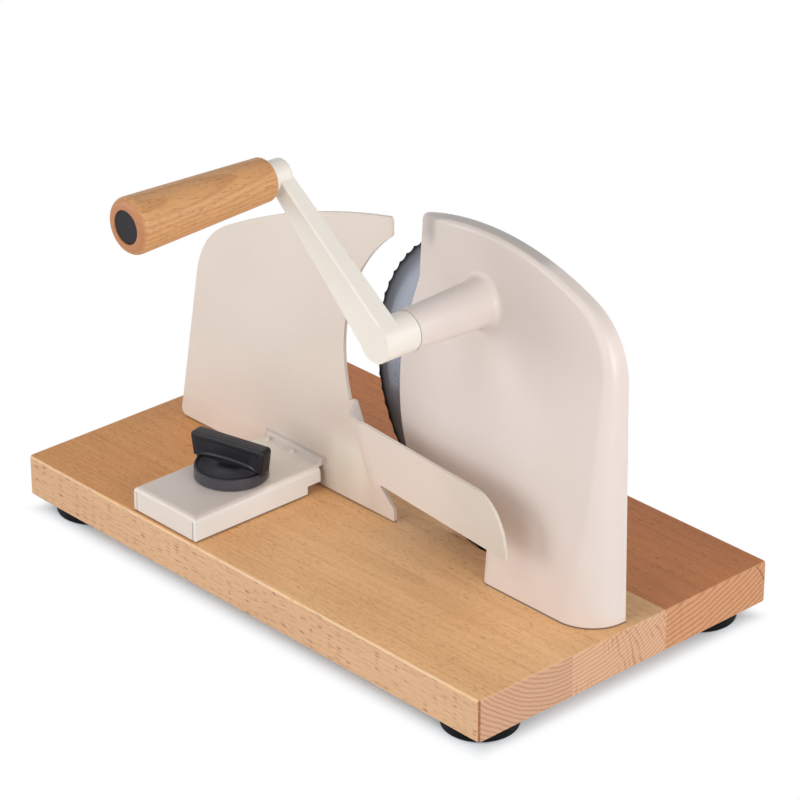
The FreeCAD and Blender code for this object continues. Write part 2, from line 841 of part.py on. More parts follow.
def crank_shaft():
    """Steel shaft with two flats for the pinion and a clip groove behind it."""
    x, z = crank_axis_x, crank_axis_z
    start = arm_front_y + hub_socket_floor
    end = gear_back_y + shaft_tail_length
    shaft = cyl_y(x, z, crank_shaft_radius, start, end)
    shaft = shaft.cut(flats(crank_shaft_flat, gear_front_y, end))
    clip_y = gear_back_y + running_gap * 2
    clip_end = clip_y + clip_thickness
    ring = cyl_y(x, z, crank_shaft_radius * 2, clip_y, clip_end)
    ring = ring.cut(cyl_y(x, z, crank_shaft_flat - clip_groove_depth, clip_y, clip_end))
    return shaft.cut(ring)


def crank_pinion():
    """Pinion driven by the shaft's flats."""
    x, z = crank_axis_x, crank_axis_z
    pinion = spur_gear(pinion_teeth, V(x, 0, z), -90 + 180 / pinion_teeth)
    bore = cyl_y(x, z, crank_shaft_radius + seat_gap, gear_front_y, gear_back_y)
    bore = bore.cut(flats(crank_shaft_flat + seat_gap, gear_front_y, gear_back_y))
    return pinion.cut(bore).Solids[0]


def shaft_clip():
    """Open retaining clip in the shaft's groove."""
    x, z = crank_axis_x, crank_axis_z
    start = gear_back_y + running_gap * 2
    inside = crank_shaft_flat - clip_groove_depth + seat_gap
    clip = cyl_y(x, z, clip_radius, start, start + clip_thickness)
    clip = clip.cut(cyl_y(x, z, inside, start, start + clip_thickness))
    half_mouth = clip_mouth_width / 2
    mouth = box(x - half_mouth, x + half_mouth, start, start + clip_thickness, z, z + clip_radius)
    return clip.cut(mouth).Solids[0]


def crank_arm():
    """Hub, tapered arm and tip boss, cast in one piece.

    The arm is drawn lying along +X from the crank axis and is then turned to its rest angle.
    """
    x, z = crank_axis_x, crank_axis_z
    tip = crank_radius
    lean = asin((hub_radius - arm_tip_half_width) / tip)
    upper_hub = V(hub_radius * sin(lean), 0, hub_radius * cos(lean))
    upper_tip = V(tip + arm_tip_half_width * sin(lean), 0, arm_tip_half_width * cos(lean))
    lower_hub = V(upper_hub.x, 0, -upper_hub.z)
    lower_tip = V(upper_tip.x, 0, -upper_tip.z)
    edges = [line(upper_hub, upper_tip), line(upper_tip, lower_tip), line(lower_tip, lower_hub),
             arc(lower_hub, V(-hub_radius, 0, 0), upper_hub)]
    bar = prism(edges, V(0, arm_thickness_hub, 0))
    bar.translate(V(0, arm_front_y, 0))
    beyond = tip + hub_radius
    wedge = polygon([
        V(0, arm_front_y + arm_thickness_hub, 0), V(tip, arm_front_y + arm_thickness_tip, 0),
        V(beyond, arm_front_y + arm_thickness_tip, 0), V(beyond, 0, 0), V(0, 0, 0)])
    slab = prism(wedge, V(0, 0, 4 * hub_radius))
    slab.translate(V(0, 0, -2 * hub_radius))
    bar = bar.cut(slab)
    bar = fillet(bar, arm_edge_round, lambda e: e.Length > tip / 2)

    hub = cyl_y(0, 0, hub_radius, arm_front_y, hub_rear_y)
    boss = cyl_y(tip, 0, tip_boss_radius, tip_boss_front_y, arm_front_y + arm_thickness_tip)
    boss = fillet(boss, tip_boss_round, lambda e: near(mid(e).y, arm_front_y + arm_thickness_tip))
    arm = bar.fuse([hub, boss]).removeSplitter()
    socket = cyl_y(0, 0, crank_shaft_radius + seat_gap, arm_front_y + hub_socket_floor, hub_rear_y)
    pin_seat = cyl_y(tip, 0, handle_pin_radius + seat_gap,
                     tip_boss_front_y, tip_boss_front_y + handle_pin_seat)
    arm = arm.cut(socket).cut(pin_seat)
    arm = arm.cut(set_screw_at_zero(set_screw_radius + thread_gap, hub_radius))
    arm.translate(V(x, 0, z))
    return turned(arm.Solids[0], V(x, 0, z), V(0, 1, 0), -crank_rest_angle)


def set_screw_at_zero(radius, length):
    """Radial cylinder in the hub, before the arm is turned."""
    y = (arm_front_y + arm_thickness_hub + hub_rear_y) / 2
    direction = V(cos(radians(set_screw_angle)), 0, sin(radians(set_screw_angle)))
    return Part.makeCylinder(radius, length, direction * crank_shaft_radius + V(0, y, 0), direction)


def crank_set_screw():
    """Grub screw that clamps the shaft in the hub."""
    screw = set_screw_at_zero(set_screw_radius, set_screw_length)
    screw.translate(V(crank_axis_x, 0, crank_axis_z))
    return turned(screw, V(crank_axis_x, 0, crank_axis_z), V(0, 1, 0), -crank_rest_angle)


# ---------------------------------------------------------------- handle
def pin_end_y():
    """Front end of the handle's pin."""
    return handle_rear_y - handle_pin_grip


def handle_pin():
    """Pin pressed into the arm's tip boss."""
    x, z = handle_axis_x, handle_axis_z
    pin = cyl_y(x, z, handle_pin_radius, pin_end_y(), tip_boss_front_y + handle_pin_seat)
    hole_end = pin_end_y() + handle_screw_length + overshoot
    return pin.cut(cyl_y(x, z, handle_screw_radius + thread_gap, pin_end_y(), hole_end))


def handle_washer():
    """Washer on the pin's end that keeps the handle on."""
    x, z = handle_axis_x, handle_axis_z
    y = pin_end_y()
    disc = cyl_y(x, z, handle_washer_radius, y - handle_washer_thickness, y)
    return disc.cut(cyl_y(x, z, handle_screw_radius + screw_gap, y - handle_washer_thickness, y))


def handle_screw():
    """Screw in the pin's end."""
    x, z = handle_axis_x, handle_axis_z
    seat = pin_end_y() - handle_washer_thickness
    head = cyl_y(x, z, handle_screw_head_radius, seat - handle_screw_head_height, seat)
    head = fillet(head, handle_screw_head_round,
                  lambda e: near(mid(e).y, seat - handle_screw_head_height))
    shank = cyl_y(x, z, handle_screw_radius, seat, seat + handle_screw_length)
    return head.fuse(shank).removeSplitter()


def sleeve_radius():
    """Outer radius of the handle's sleeve."""
    return handle_pin_radius + running_gap + handle_sleeve_wall


def handle_grip():
    """Turned beech grip, thicker towards its free end."""
    x, z = handle_axis_x, handle_axis_z
    grip = cone_y(x, z, handle_front_y, handle_free_end_radius, handle_rear_y, handle_arm_end_radius)
    grip = fillet(grip, handle_free_end_round, lambda e: near(mid(e).y, handle_front_y))
    grip = fillet(grip, handle_arm_end_round, lambda e: near(mid(e).y, handle_rear_y))
    cuts = [cyl_y(x, z, sleeve_radius() + seat_gap, handle_front_y, handle_rear_y),
            cyl_y(x, z, handle_cap_radius + seat_gap, handle_front_y, pin_end_y() + slip_gap)]
    return grip.cut(Part.makeCompound(cuts))


def handle_sleeve():
    """Plastic sleeve glued into the grip, running on the pin."""
    x, z = handle_axis_x, handle_axis_z
    start = pin_end_y() + slip_gap
    tube = cyl_y(x, z, sleeve_radius(), start, handle_rear_y)
    return tube.cut(cyl_y(x, z, handle_pin_radius + running_gap, start, handle_rear_y))


def handle_cap():
    """Black plug that closes the grip's free end."""
    x, z = handle_axis_x, handle_axis_z
    start = handle_front_y + handle_cap_recess
    cap = cyl_y(x, z, handle_cap_radius, start, start + handle_cap_thickness)
    return fillet(cap, handle_cap_round, lambda e: near(mid(e).y, start))


# ---------------------------------------------------------------- gauge plate
def sheet_band(start, heading, steps):
    """Edges around a bent sheet drawn in a plane, as a list of (u, v) pairs turned to edges.

    start is a point on the sheet's middle line, heading its direction in degrees, and steps are
    ("line", length) or ("bend", middle radius, turn in degrees, positive to the left).
    Returned are two chains of (kind, points): the left side and the right side.
    """
    half = sheet / 2
    u, v = start
    angle = radians(heading)
    chains = ([], [])
    for step in steps:
        offsets = (half, -half)
        if step[0] == "line":
            nu, nv = u + step[1] * cos(angle), v + step[1] * sin(angle)
            for chain, offset in zip(chains, offsets):
                du, dv = -offset * sin(angle), offset * cos(angle)
                chain.append(("line", [(u + du, v + dv), (nu + du, nv + dv)]))
            u, v = nu, nv
            continue
        radius, turn = step[1], radians(step[2])
        side = 1 if turn > 0 else -1
        cu, cv = u - side * radius * sin(angle), v + side * radius * cos(angle)
        for chain, offset in zip(chains, offsets):
            reach = radius - side * offset
            points = []
            for share in (0, 0.5, 1):
                now = angle + turn * share
                points.append((cu + side * reach * sin(now), cv - side * reach * cos(now)))
            chain.append(("bend", points))
        angle += turn
        u = cu + side * radius * sin(angle)
        v = cv - side * radius * cos(angle)
    return chains


def band_edges(chains, place):
    """Closed outline of a bent sheet, with place mapping (u, v) to a point."""
    left, right = chains
    edges = []
    for chain in chains:
        for kind, points in chain:
            spots = [place(*point) for point in points]
            edges.append(line(*spots) if kind == "line" else arc(*spots))
    edges.append(line(place(*left[0][1][0]), place(*right[0][1][0])))
    edges.append(line(place(*left[-1][1][-1]), place(*right[-1][1][-1])))
    return edges


def flat_plate():
    """The gauge plate's flat part with its outline."""
    y = plate_front_y
    bottom = plate_lift
    toe = V(toe_x, y, toe_z)
    tip = V(plate_tip_x, y, plate_tip_z)
    rise = sqrt(mouth_radius ** 2 - (mouth_axis_x - plate_tip_x) ** 2)
    run = sqrt(mouth_radius ** 2 - (mouth_axis_z - guard_top_z) ** 2)
    mouth_top = V(plate_tip_x, y, mouth_axis_z + rise)
    guard_top = V(mouth_axis_x - run, y, guard_top_z)
    shoulder = V(plate_shoulder_x, y, plate_shoulder_z)
    edges = [
        line(V(plate_left_x, y, bottom), V(toe_x, y, bottom)),
        line(V(toe_x, y, bottom), toe),
        line(toe, V(slit_x, y, slit_z)),
        line(V(slit_x, y, slit_z), guard_top),
        arc(guard_top, V(mouth_axis_x - mouth_radius, y, mouth_axis_z), mouth_top),
        line(mouth_top, tip),
        arc(tip, V(plate_crown_x, y, plate_crown_z), shoulder),
        line(shoulder, V(plate_left_x, y, bottom)),
    ]
    plate = prism(edges, V(0, sheet, 0))
    rounds = [(shoulder, plate_shoulder_round), (tip, plate_tip_round), (toe, toe_round),
              (V(plate_left_x, y, bottom), plate_corner_round)]
    for corner, radius in rounds:
        plate = fillet(plate, radius, lambda e: is_along(e, V(0, 1, 0))
                       and near(mid(e).x, corner.x) and near(mid(e).z, corner.z))
    return plate


def slice_guard():
    """Strip that steps out from the plate and holds the slice upright.

    Its cross-section is drawn across the slanted bend line and swept along that line, and is
    then trimmed to the strip's outline as seen from the front.
    """
    bend = V(guard_top_x - slit_x, 0, guard_top_z - slit_z).normalize()
    across = V(bend.z, 0, -bend.x)
    origin = V(slit_x, 0, slit_z)
    reach = guard_tip_x - plate_left_x
    steps = [("line", sheet), ("bend", guard_root_radius, -guard_step_angle),
             ("line", guard_step_straight),
             ("bend", guard_step_radius, guard_step_angle - guard_yaw), ("line", reach)]
    chains = sheet_band((-sheet, plate_front_y + sheet / 2), 0, steps)
    place = lambda u, v: origin + across * u + V(0, v, 0) - bend * reach
    band = prism(band_edges(chains, place), bend * 2 * reach)

    low = V(guard_flat_bottom_x, 0, guard_flat_bottom_z)
    tip = V(guard_tip_x, 0, guard_tip_z)
    end = V(guard_end_x, 0, guard_end_z)
    high = V(guard_flat_top_x, 0, guard_flat_top_z)
    root = V(guard_top_x, 0, guard_top_z)
    nose = Part.BezierCurve()
    nose.setPoles([end, V(end.x + guard_nose_fullness * (tip.x - end.x), 0, end.z),
                   V(tip.x, 0, tip.z + guard_nose_fullness * (end.z - tip.z)), tip])
    back = across * -sheet
    edges = [line(origin + back, origin), line(origin, low), line(low, tip), nose.toShape(),
             line(end, high), line(high, root), line(root, root + back), line(root + back, origin + back)]
    trim = prism(edges, V(0, board_width, 0))
    trim.translate(V(0, -board_width / 2, 0))
    return band.common(trim)


def hood():
    """Folded hood that slides over the guide block, with its bend up into the plate."""
    top = hood_height
    low = plate_lift
    rear = plate_front_y - hood_relief
    outer = box(hood_left_x, hood_right_x, hood_front_y, rear, low, top)
    inner = box(hood_left_x + sheet, hood_right_x - sheet, hood_front_y + sheet, rear,
                low, hood_ceiling_z)
    outer = fillet(outer, hood_round, lambda e: near(mid(e).z, top) and not near(mid(e).y, rear))
    inner = fillet(inner, max(hood_round - sheet, smallest_round),
                   lambda e: near(mid(e).z, hood_ceiling_z) and not near(mid(e).y, rear))
    shell = outer.cut(inner)
    notch = box(hood_left_x, hood_right_x, hood_notch_y, rear, low, low + hood_notch_height)
    shell = shell.cut(notch)
    round_y = rear - hood_flange_round
    round_z = top - hood_flange_round
    corner = box(hood_left_x, hood_right_x, round_y, rear, round_z, top)
    rounding = Part.makeCylinder(hood_flange_round, hood_width, V(hood_left_x, round_y, round_z), V(1, 0, 0))
    shell = shell.cut(corner.cut(rounding))
    for seam_x in (hood_left_x + sheet, hood_right_x - sheet - hood_seam):
        seam = box(seam_x, seam_x + hood_seam, hood_front_y, hood_front_y + sheet, low, top - hood_round)
        shell = shell.cut(seam)

    middle_radius = hood_bend_radius + sheet / 2
    bend_start = rear - hood_bend_radius
    steps = [("line", plate_front_y + sheet / 2 - middle_radius - bend_start),
             ("bend", middle_radius, 90), ("line", hood_bend_radius)]
    chains = sheet_band((bend_start, top - sheet / 2), 0, steps)
    bend_left = hood_left_x + hood_bend_inset
    bend_width = hood_width - 2 * hood_bend_inset
    place = lambda u, v: V(bend_left, u, v)
    bend = prism(band_edges(chains, place), V(bend_width, 0, 0))
    bend = fillet(bend, hood_bend_edge_round, lambda e: isinstance(e.Curve, Part.Circle)
                  and near(e.Curve.Radius, hood_bend_radius))
    shell = shell.cut(box(bend_left, bend_left + bend_width, bend_start, rear, hood_ceiling_z, top))
    return shell.fuse(bend)


def stiffening_beads():
    """Two small pressed beads across the inside of the bend."""
    beads = []
    centre_z = hood_height - bead_sink
    centre_y = plate_front_y - hood_bend_radius - bead_setback
    direction = V(0, 1, 1).normalize()
    for side in (-1, 1):
        x = hood_centre_x + bead_offset_x + side * bead_spacing / 2
        start = V(x, centre_y, centre_z) - direction * (bead_length / 2)
        body = Part.makeCylinder(bead_radius, bead_length, start, direction)
        ends = [Part.makeSphere(bead_radius, end) for end in (start, start + direction * bead_length)]
        beads.append(body.fuse(ends))
    return beads


def gauge_plate():
    """Gauge plate, slice guard and hood, folded from one sheet."""
    plate = flat_plate()
    mouth = box(hood_left_x + hood_mouth_inset, hood_right_x - hood_mouth_inset, plate_front_y,
                plate_front_y + sheet, plate_lift, hood_ceiling_z)
    plate = plate.cut(mouth)
    joined = plate.fuse([slice_guard(), hood()])
    reach = hood_bend_radius + bead_length + bead_radius
    room = box(hood_left_x, hood_right_x, plate_front_y - reach, plate_front_y + sheet,
               hood_ceiling_z, hood_height + reach)
    for bead in stiffening_beads():
        joined = joined.fuse(bead.common(room))
    hole = cyl_z(hood_centre_x, clamp_y, clamp_bolt_radius + screw_gap, hood_ceiling_z, hood_height)
    return joined.cut(hole).removeSplitter().Solids[0]


# ---------------------------------------------------------------- gauge clamp
def guide_block():
    """Plastic block on the board that the hood slides over, with a slot for the clamp bolt."""
    x = hood_centre_x
    block = box(x - block_half_width, x + block_half_width, block_front_y, block_rear_y, 0, block_top_z)
    block = fillet(block, block_corner_round, lambda e: is_along(e, V(0, 0, 1)))
    block = fillet(block, block_top_round, lambda e: near(mid(e).z, block_top_z))
    front = clamp_y - gauge_travel_thick
    rear = clamp_y + gauge_travel_thin
    shank = clamp_bolt_radius + slip_gap
    slot = box(x - shank, x + shank, front, rear, 0, block_top_z)
    slot = slot.fuse([cyl_z(x, front, shank, 0, block_top_z), cyl_z(x, rear, shank, 0, block_top_z)])
    half_head = clamp_head_width / 2 + slip_gap
    overhang = clamp_head_length / 2 + slip_gap
    pocket = box(x - half_head, x + half_head, front - overhang, rear + overhang,
                 0, block_top_z - block_lip)
    block = block.cut(slot).cut(pocket)
    for px, py in block_screw_places():
        block = block.cut(cyl_z(px, py, block_screw_radius + screw_gap, 0, block_top_z))
        rise = block_screw_head_radius - block_screw_radius
        block = block.cut(cone_z(px, py, block_top_z - rise, block_screw_radius + screw_gap,
                                 block_top_z, block_screw_head_radius + screw_gap))
    return block.Solids[0]


def block_screws():
    """Four countersunk screws that hold the guide block."""
    screws = []
    rise = block_screw_head_radius - block_screw_radius
    for x, y in block_screw_places():
        shank = cyl_z(x, y, block_screw_radius, block_top_z - block_screw_length, block_top_z - rise)
        head = cone_z(x, y, block_top_z - rise, block_screw_radius, block_top_z, block_screw_head_radius)
        screws.append(shank.fuse(head).removeSplitter())
    return screws


def clamp_bolt():
    """Bolt with a flat head that can't turn in the guide block's pocket."""
    x = hood_centre_x
    top = block_top_z - block_lip - slip_gap
    head = box(x - clamp_head_width / 2, x + clamp_head_width / 2,
               clamp_y - clamp_head_length / 2, clamp_y + clamp_head_length / 2,
               top - clamp_head_thickness, top)
    shank = cyl_z(x, clamp_y, clamp_bolt_radius, top, bolt_top_z())
    return head.fuse(shank).removeSplitter()


def clamp_washer():
    """Washer between the knob and the hood, in the knob's recess."""
    x, y = hood_centre_x, clamp_y
    top = hood_height + clamp_washer_thickness
    disc = cyl_z(x, y, clamp_washer_radius, hood_height, top)
    return disc.cut(cyl_z(x, y, clamp_bolt_radius + screw_gap, hood_height, top))


def nut_bottom_z():
    """Underside of the nut in the knob."""
    return hood_height + clamp_washer_thickness + slip_gap


def bolt_top_z():
    """Upper end of the clamp bolt."""
    return knob_bottom_z + knob_disc_height - knob_roof - slip_gap


def knob_nut():
    """Threaded brass insert moulded into the knob."""
    x, y = hood_centre_x, clamp_y
    low = nut_bottom_z()
    nut = cyl_z(x, y, knob_nut_radius, low, low + knob_nut_height)
    return nut.cut(cyl_z(x, y, clamp_bolt_radius + running_gap, low, low + knob_nut_height))


def clamp_knob():
    """Knob with a round foot and a waisted wing."""
    x, y = hood_centre_x, clamp_y
    low = knob_bottom_z
    disc_top = low + knob_disc_height
    wing_top = disc_top + knob_wing_height
    disc = cyl_z(x, y, knob_radius, low, disc_top)
    disc = fillet(disc, knob_disc_round, lambda e: near(mid(e).z, disc_top))
    wing_low = disc_top - knob_disc_round
    half_base = knob_wing_base_length / 2
    half_top = knob_wing_top_length / 2
    half_width = knob_wing_width / 2
    at = lambda u, z: V(x + u, y - half_width, z)
    wing = prism(polygon([at(-half_base, wing_low), at(half_base, wing_low),
                          at(half_top, wing_top), at(-half_top, wing_top)]),
                 V(0, knob_wing_width, 0))
    ends = lambda e: abs(mid(e).x - x) > half_base - 1 and not is_along(e, V(0, 1, 0))
    wing = fillet(wing, knob_wing_end_round, ends)
    wing = fillet(wing, knob_wing_top_round, lambda e: near(mid(e).z, wing_top))
    half_scoop = knob_scoop_length / 2
    scoop_radius = (half_scoop ** 2 + knob_scoop_depth ** 2) / (2 * knob_scoop_depth)
    reach = half_width + scoop_radius - knob_scoop_depth
    for side in (-1, 1):
        wing = wing.cut(cone_z(x, y + side * reach, disc_top, scoop_radius,
                               wing_top - knob_scoop_margin, scoop_radius - knob_scoop_depth))
    knob = disc.fuse(wing).removeSplitter()
    washer_room = clamp_washer_radius + slip_gap
    cuts = [cyl_z(x, y, washer_room, low, nut_bottom_z()),
            cyl_z(x, y, knob_nut_radius + seat_gap, low, nut_bottom_z() + knob_nut_height),
            cyl_z(x, y, clamp_bolt_radius + slip_gap, low, bolt_top_z() + slip_gap)]
    knob = knob.cut(Part.makeCompound(cuts))
    return turned(knob.Solids[0], V(x, y, 0), V(0, 0, 1), knob_rest_angle)


# ---------------------------------------------------------------- all nodes
def build():
    """Every node with its solids, in the layout frame."""
    front, middle, back = board_staves()
    return {
        "board_stave_front": [front],
        "board_stave_middle": [middle],
        "board_stave_back": [back],
        "rubber_feet": rubber_feet(),
        "foot_screws": foot_screws(),
        "housing_shell": [housing_shell()],
        "housing_screws": housing_screws(),
        "crank_bushes": crank_bushes(),
        "blade_axle": [blade_axle()],
        "retaining_washer": [retaining_washer()],
        "retaining_screw": [retaining_screw()],
        "blade": [blade()],
        "blade_gear": [blade_gear()],
        "blade_screws": blade_screws(),
        "hub_bush": [hub_bush()],
        "crank_shaft": [crank_shaft()],
        "crank_pinion": [crank_pinion()],
        "thrust_washer": [thrust_washer()],
        "shaft_clip": [shaft_clip()],
        "crank_arm": [crank_arm()],
        "crank_set_screw": [crank_set_screw()],
        "handle_pin": [handle_pin()],
        "handle_washer": [handle_washer()],
        "handle_screw": [handle_screw()],
        "handle_grip": [handle_grip()],
        "handle_sleeve": [handle_sleeve()],
        "handle_cap": [handle_cap()],
        "gauge_plate": [gauge_plate()],
        "guide_block": [guide_block()],
        "block_screws": block_screws(),
        "clamp_bolt": [clamp_bolt()],
        "clamp_knob": [clamp_knob()],
        "knob_nut": [knob_nut()],
        "clamp_washer": [clamp_washer()],
    }


def export(nodes):
    """Write each node to its own STEP file."""
    os.makedirs("parts", exist_ok=True)
    for name, solids in nodes.items():
        shape = solids[0] if len(solids) == 1 else Part.makeCompound(solids)
        shape = shape.copy()
        shape.translate(origin_shift)
        shape.exportStep(os.path.join("parts", name + ".step"))
        print(f"{name}: {len(solids)} solid(s), valid {shape.isValid()}, "
              f"volume {shape.Volume / 1000:.2f} cm3")


export(build())
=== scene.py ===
"""Looks of a hand-cranked bread slicer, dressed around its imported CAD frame.

Lengths are metres in the frame's own axes: +X along the board towards the housing, +Y from the
crank's side to the back, +Z up, with the feet standing on Z = 0.
"""
from __future__ import annotations

import logging
import math
from dataclasses import dataclass
from enum import Enum
from typing import Any, Sequence, Union

import bmesh
import bpy
import numpy as np
from mathutils import Euler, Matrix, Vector

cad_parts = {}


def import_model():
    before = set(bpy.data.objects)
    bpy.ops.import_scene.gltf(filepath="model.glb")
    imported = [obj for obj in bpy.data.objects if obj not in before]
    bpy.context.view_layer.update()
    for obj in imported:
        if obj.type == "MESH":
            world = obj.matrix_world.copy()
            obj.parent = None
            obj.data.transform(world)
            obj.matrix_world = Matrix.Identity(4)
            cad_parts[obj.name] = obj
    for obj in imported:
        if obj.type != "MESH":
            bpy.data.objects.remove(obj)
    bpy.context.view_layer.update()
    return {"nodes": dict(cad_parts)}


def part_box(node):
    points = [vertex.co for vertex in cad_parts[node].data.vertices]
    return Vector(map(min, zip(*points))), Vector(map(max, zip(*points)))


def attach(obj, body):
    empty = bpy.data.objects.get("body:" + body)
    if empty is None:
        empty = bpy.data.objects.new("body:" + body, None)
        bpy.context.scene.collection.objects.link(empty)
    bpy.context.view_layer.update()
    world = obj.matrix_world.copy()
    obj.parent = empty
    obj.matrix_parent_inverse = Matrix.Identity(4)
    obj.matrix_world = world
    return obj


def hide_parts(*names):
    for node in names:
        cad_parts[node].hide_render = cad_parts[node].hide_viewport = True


LOG = logging.getLogger("bread_slicer")
Colour = tuple[float, float, float]
Triple = tuple[float, float, float]
Number = Union[float, "Val"]
WELD = 1e-6
FAR = 0.3  # farther out than any piece of the slicer


def shown(red: int, green: int, blue: int) -> Colour:
    """Linear colour that the display shows as the given 0-255 steps.

    Args:
        red: Red step.
        green: Green step.
        blue: Blue step.

    Returns:
        The linear colour, with the sRGB curve undone channel by channel.
    """
    def linear(step: int) -> float:
        """Linear value of one step."""
        value = step / 255
        return value / 12.92 if value <= 0.04045 else ((value + 0.055) / 1.055) ** 2.4

    return linear(red), linear(green), linear(blue)


BRONZE = shown(188, 142, 88)


# ---------------------------------------------------------------- shader kit
class Val:
    """A shader socket that takes part in ordinary arithmetic, one Math node per operator."""

    def __init__(self, shader: "Shader", socket: bpy.types.NodeSocket) -> None:
        """Wraps a socket of a shader's node tree."""
        self.shader = shader
        self.socket = socket

    def __add__(self, other: Number) -> "Val":
        """Sum."""
        return self.shader.math("ADD", self, other)

    def __radd__(self, other: Number) -> "Val":
        """Sum with a plain number in front."""
        return self.shader.math("ADD", other, self)

    def __sub__(self, other: Number) -> "Val":
        """Difference."""
        return self.shader.math("SUBTRACT", self, other)

    def __rsub__(self, other: Number) -> "Val":
        """Difference from a plain number."""
        return self.shader.math("SUBTRACT", other, self)

    def __mul__(self, other: Number) -> "Val":
        """Product."""
        return self.shader.math("MULTIPLY", self, other)

    def __rmul__(self, other: Number) -> "Val":
        """Product with a plain number in front."""
        return self.shader.math("MULTIPLY", other, self)

    def __truediv__(self, other: Number) -> "Val":
        """Quotient."""
        return self.shader.math("DIVIDE", self, other)

    def __pow__(self, other: Number) -> "Val":
        """Power."""
        return self.shader.math("POWER", self, other)

    def __abs__(self) -> "Val":
        """Size without its sign."""
        return self.shader.math("ABSOLUTE", self)

    def fraction(self) -> "Val":
        """Part after the decimal point."""
        return self.shader.math("FRACT", self)

    def rise(self, low: float, high: float) -> "Val":
        """0 below low, 1 above high, with a smooth rise between them."""
        node = self.shader.node(
            "ShaderNodeMapRange", {"interpolation_type": "SMOOTHSTEP"},
            {"Value": self, "From Min": low, "From Max": high})
        return Val(self.shader, node.outputs["Result"])

    def fall(self, low: float, high: float) -> "Val":
        """1 below low, 0 above high, with a smooth fall between them."""
        return 1.0 - self.rise(low, high)


class Shader:
    """Node tree of a material or of the world, with one method for any kind of node."""

    def __init__(self, name: str, world: bool = False) -> None:
        """Starts an empty node tree for a material, or for the world, of that name."""
        self.owner = (bpy.data.worlds if world else bpy.data.materials).new(name)
        self.owner.use_nodes = True
        self.tree = self.owner.node_tree
        self.tree.nodes.clear()

    def node(self, kind: str, settings: dict[str, Any] | None = None,
             inputs: dict[str | int, Any] | None = None) -> bpy.types.Node:
        """Adds a node.

        Args:
            kind: The node's type.
            settings: Its options, set first; "stops" fills a colour ramp.
            inputs: Values or Val links of its sockets, by name or number.

        Returns:
            The node.
        """
        node = self.tree.nodes.new(kind)
        for name, value in (settings or {}).items():
            setattr(node, name, value)
        for name, value in (inputs or {}).items():
            if isinstance(value, Val):
                self.tree.links.new(value.socket, node.inputs[name])
            else:
                node.inputs[name].default_value = value
        return node

    def math(self, operation: str, *values: Number) -> Val:
        """One Math node on values or plain numbers."""
        node = self.node("ShaderNodeMath", {"operation": operation}, dict(enumerate(values)))
        return Val(self, node.outputs[0])

    def place(self) -> Val:
        """Position on the piece in the frame's metres."""
        return Val(self, self.node("ShaderNodeTexCoord").outputs["Object"])

    def seen(self) -> Val:
        """1 on rays from the camera, in reflections and through gaps, 0 on all others."""
        path = self.node("ShaderNodeLightPath")
        camera, glossy, through = (Val(self, path.outputs[f"Is {kind} Ray"])
                                   for kind in ("Camera", "Glossy", "Transmission"))
        return self.math("MAXIMUM", self.math("MAXIMUM", camera, glossy), through)

    def distance(self, across: Val, up: Val) -> Val:
        """Distance from an axis that lies at 0, 0."""
        return (across * across + up * up) ** 0.5

    def split(self, vector: Val) -> tuple[Val, Val, Val]:
        """The three parts of a vector."""
        node = self.node("ShaderNodeSeparateXYZ", None, {0: vector})
        return tuple(Val(self, output) for output in node.outputs)

    def join(self, x: Number, y: Number, z: Number) -> Val:
        """A vector from three parts."""
        return Val(self, self.node("ShaderNodeCombineXYZ", None, {0: x, 1: y, 2: z}).outputs[0])

    def stretch(self, vector: Val, scale: Triple, shift: Triple = (0.0, 0.0, 0.0)) -> Val:
        """The vector times scale plus shift, part by part."""
        node = self.node("ShaderNodeVectorMath", {"operation": "MULTIPLY_ADD"},
                         {0: vector, 1: scale, 2: shift})
        return Val(self, node.outputs[0])

    def noise(self, vector: Val, scale: float = 1.0, detail: float = 2.0,
              rough: float = 0.5) -> Val:
        """Smooth noise around 0.5.

        Args:
            vector: Where it is read.
            scale: Blobs per unit of the vector.
            detail: Octaves.
            rough: How strong the finer octaves are.

        Returns:
            The noise, from about 0.2 to 0.8.
        """
        node = self.node("ShaderNodeTexNoise", None,
                         {"Vector": vector, "Scale": scale, "Detail": detail,
                          "Roughness": rough})
        return Val(self, node.outputs[0])

    def blend(self, share: Number, first: Colour | Val, second: Colour | Val,
              mode: str = "MIX") -> Val:
        """Colour between first, at 0, and second, at 1."""
        def filled(colour: Colour | Val) -> Any:
            """Colour with its alpha, or the link itself."""
            return colour if isinstance(colour, Val) else (*colour, 1.0)

        node = self.node("ShaderNodeMix", {"data_type": "RGBA", "blend_type": mode},
                         {0: share, 6: filled(first), 7: filled(second)})
        return Val(self, node.outputs[2])

    def bump(self, height: Val, depth: float, strength: float = 1.0,
             under: Val | None = None) -> Val:
        """Normal of a surface raised by height times depth metres."""
        inputs = {"Height": height, "Distance": depth, "Strength": strength}
        if under is not None:
            inputs["Normal"] = under
        return Val(self, self.node("ShaderNodeBump", None, inputs).outputs[0])

    def finish(self, **sockets: Any) -> bpy.types.Material:
        """Closes the tree with a Principled surface.

        Args:
            **sockets: Its sockets, with an underscore for each space in a name.

        Returns:
            The material.
        """
        inputs = {}
        for name, value in sockets.items():
            plain_colour = name.endswith("Color") and not isinstance(value, Val)
            inputs[name.replace("_", " ")] = (*value, 1.0) if plain_colour else value
        surface = self.node("ShaderNodeBsdfPrincipled", None, inputs)
        self.node("ShaderNodeOutputMaterial", None, {"Surface": Val(self, surface.outputs[0])})
        return self.owner


# ---------------------------------------------------------------- finishes
@dataclass(frozen=True)
class Slab:
    """Where the board's faces are."""

    half_length: float
    front: float
    back: float
    top: float


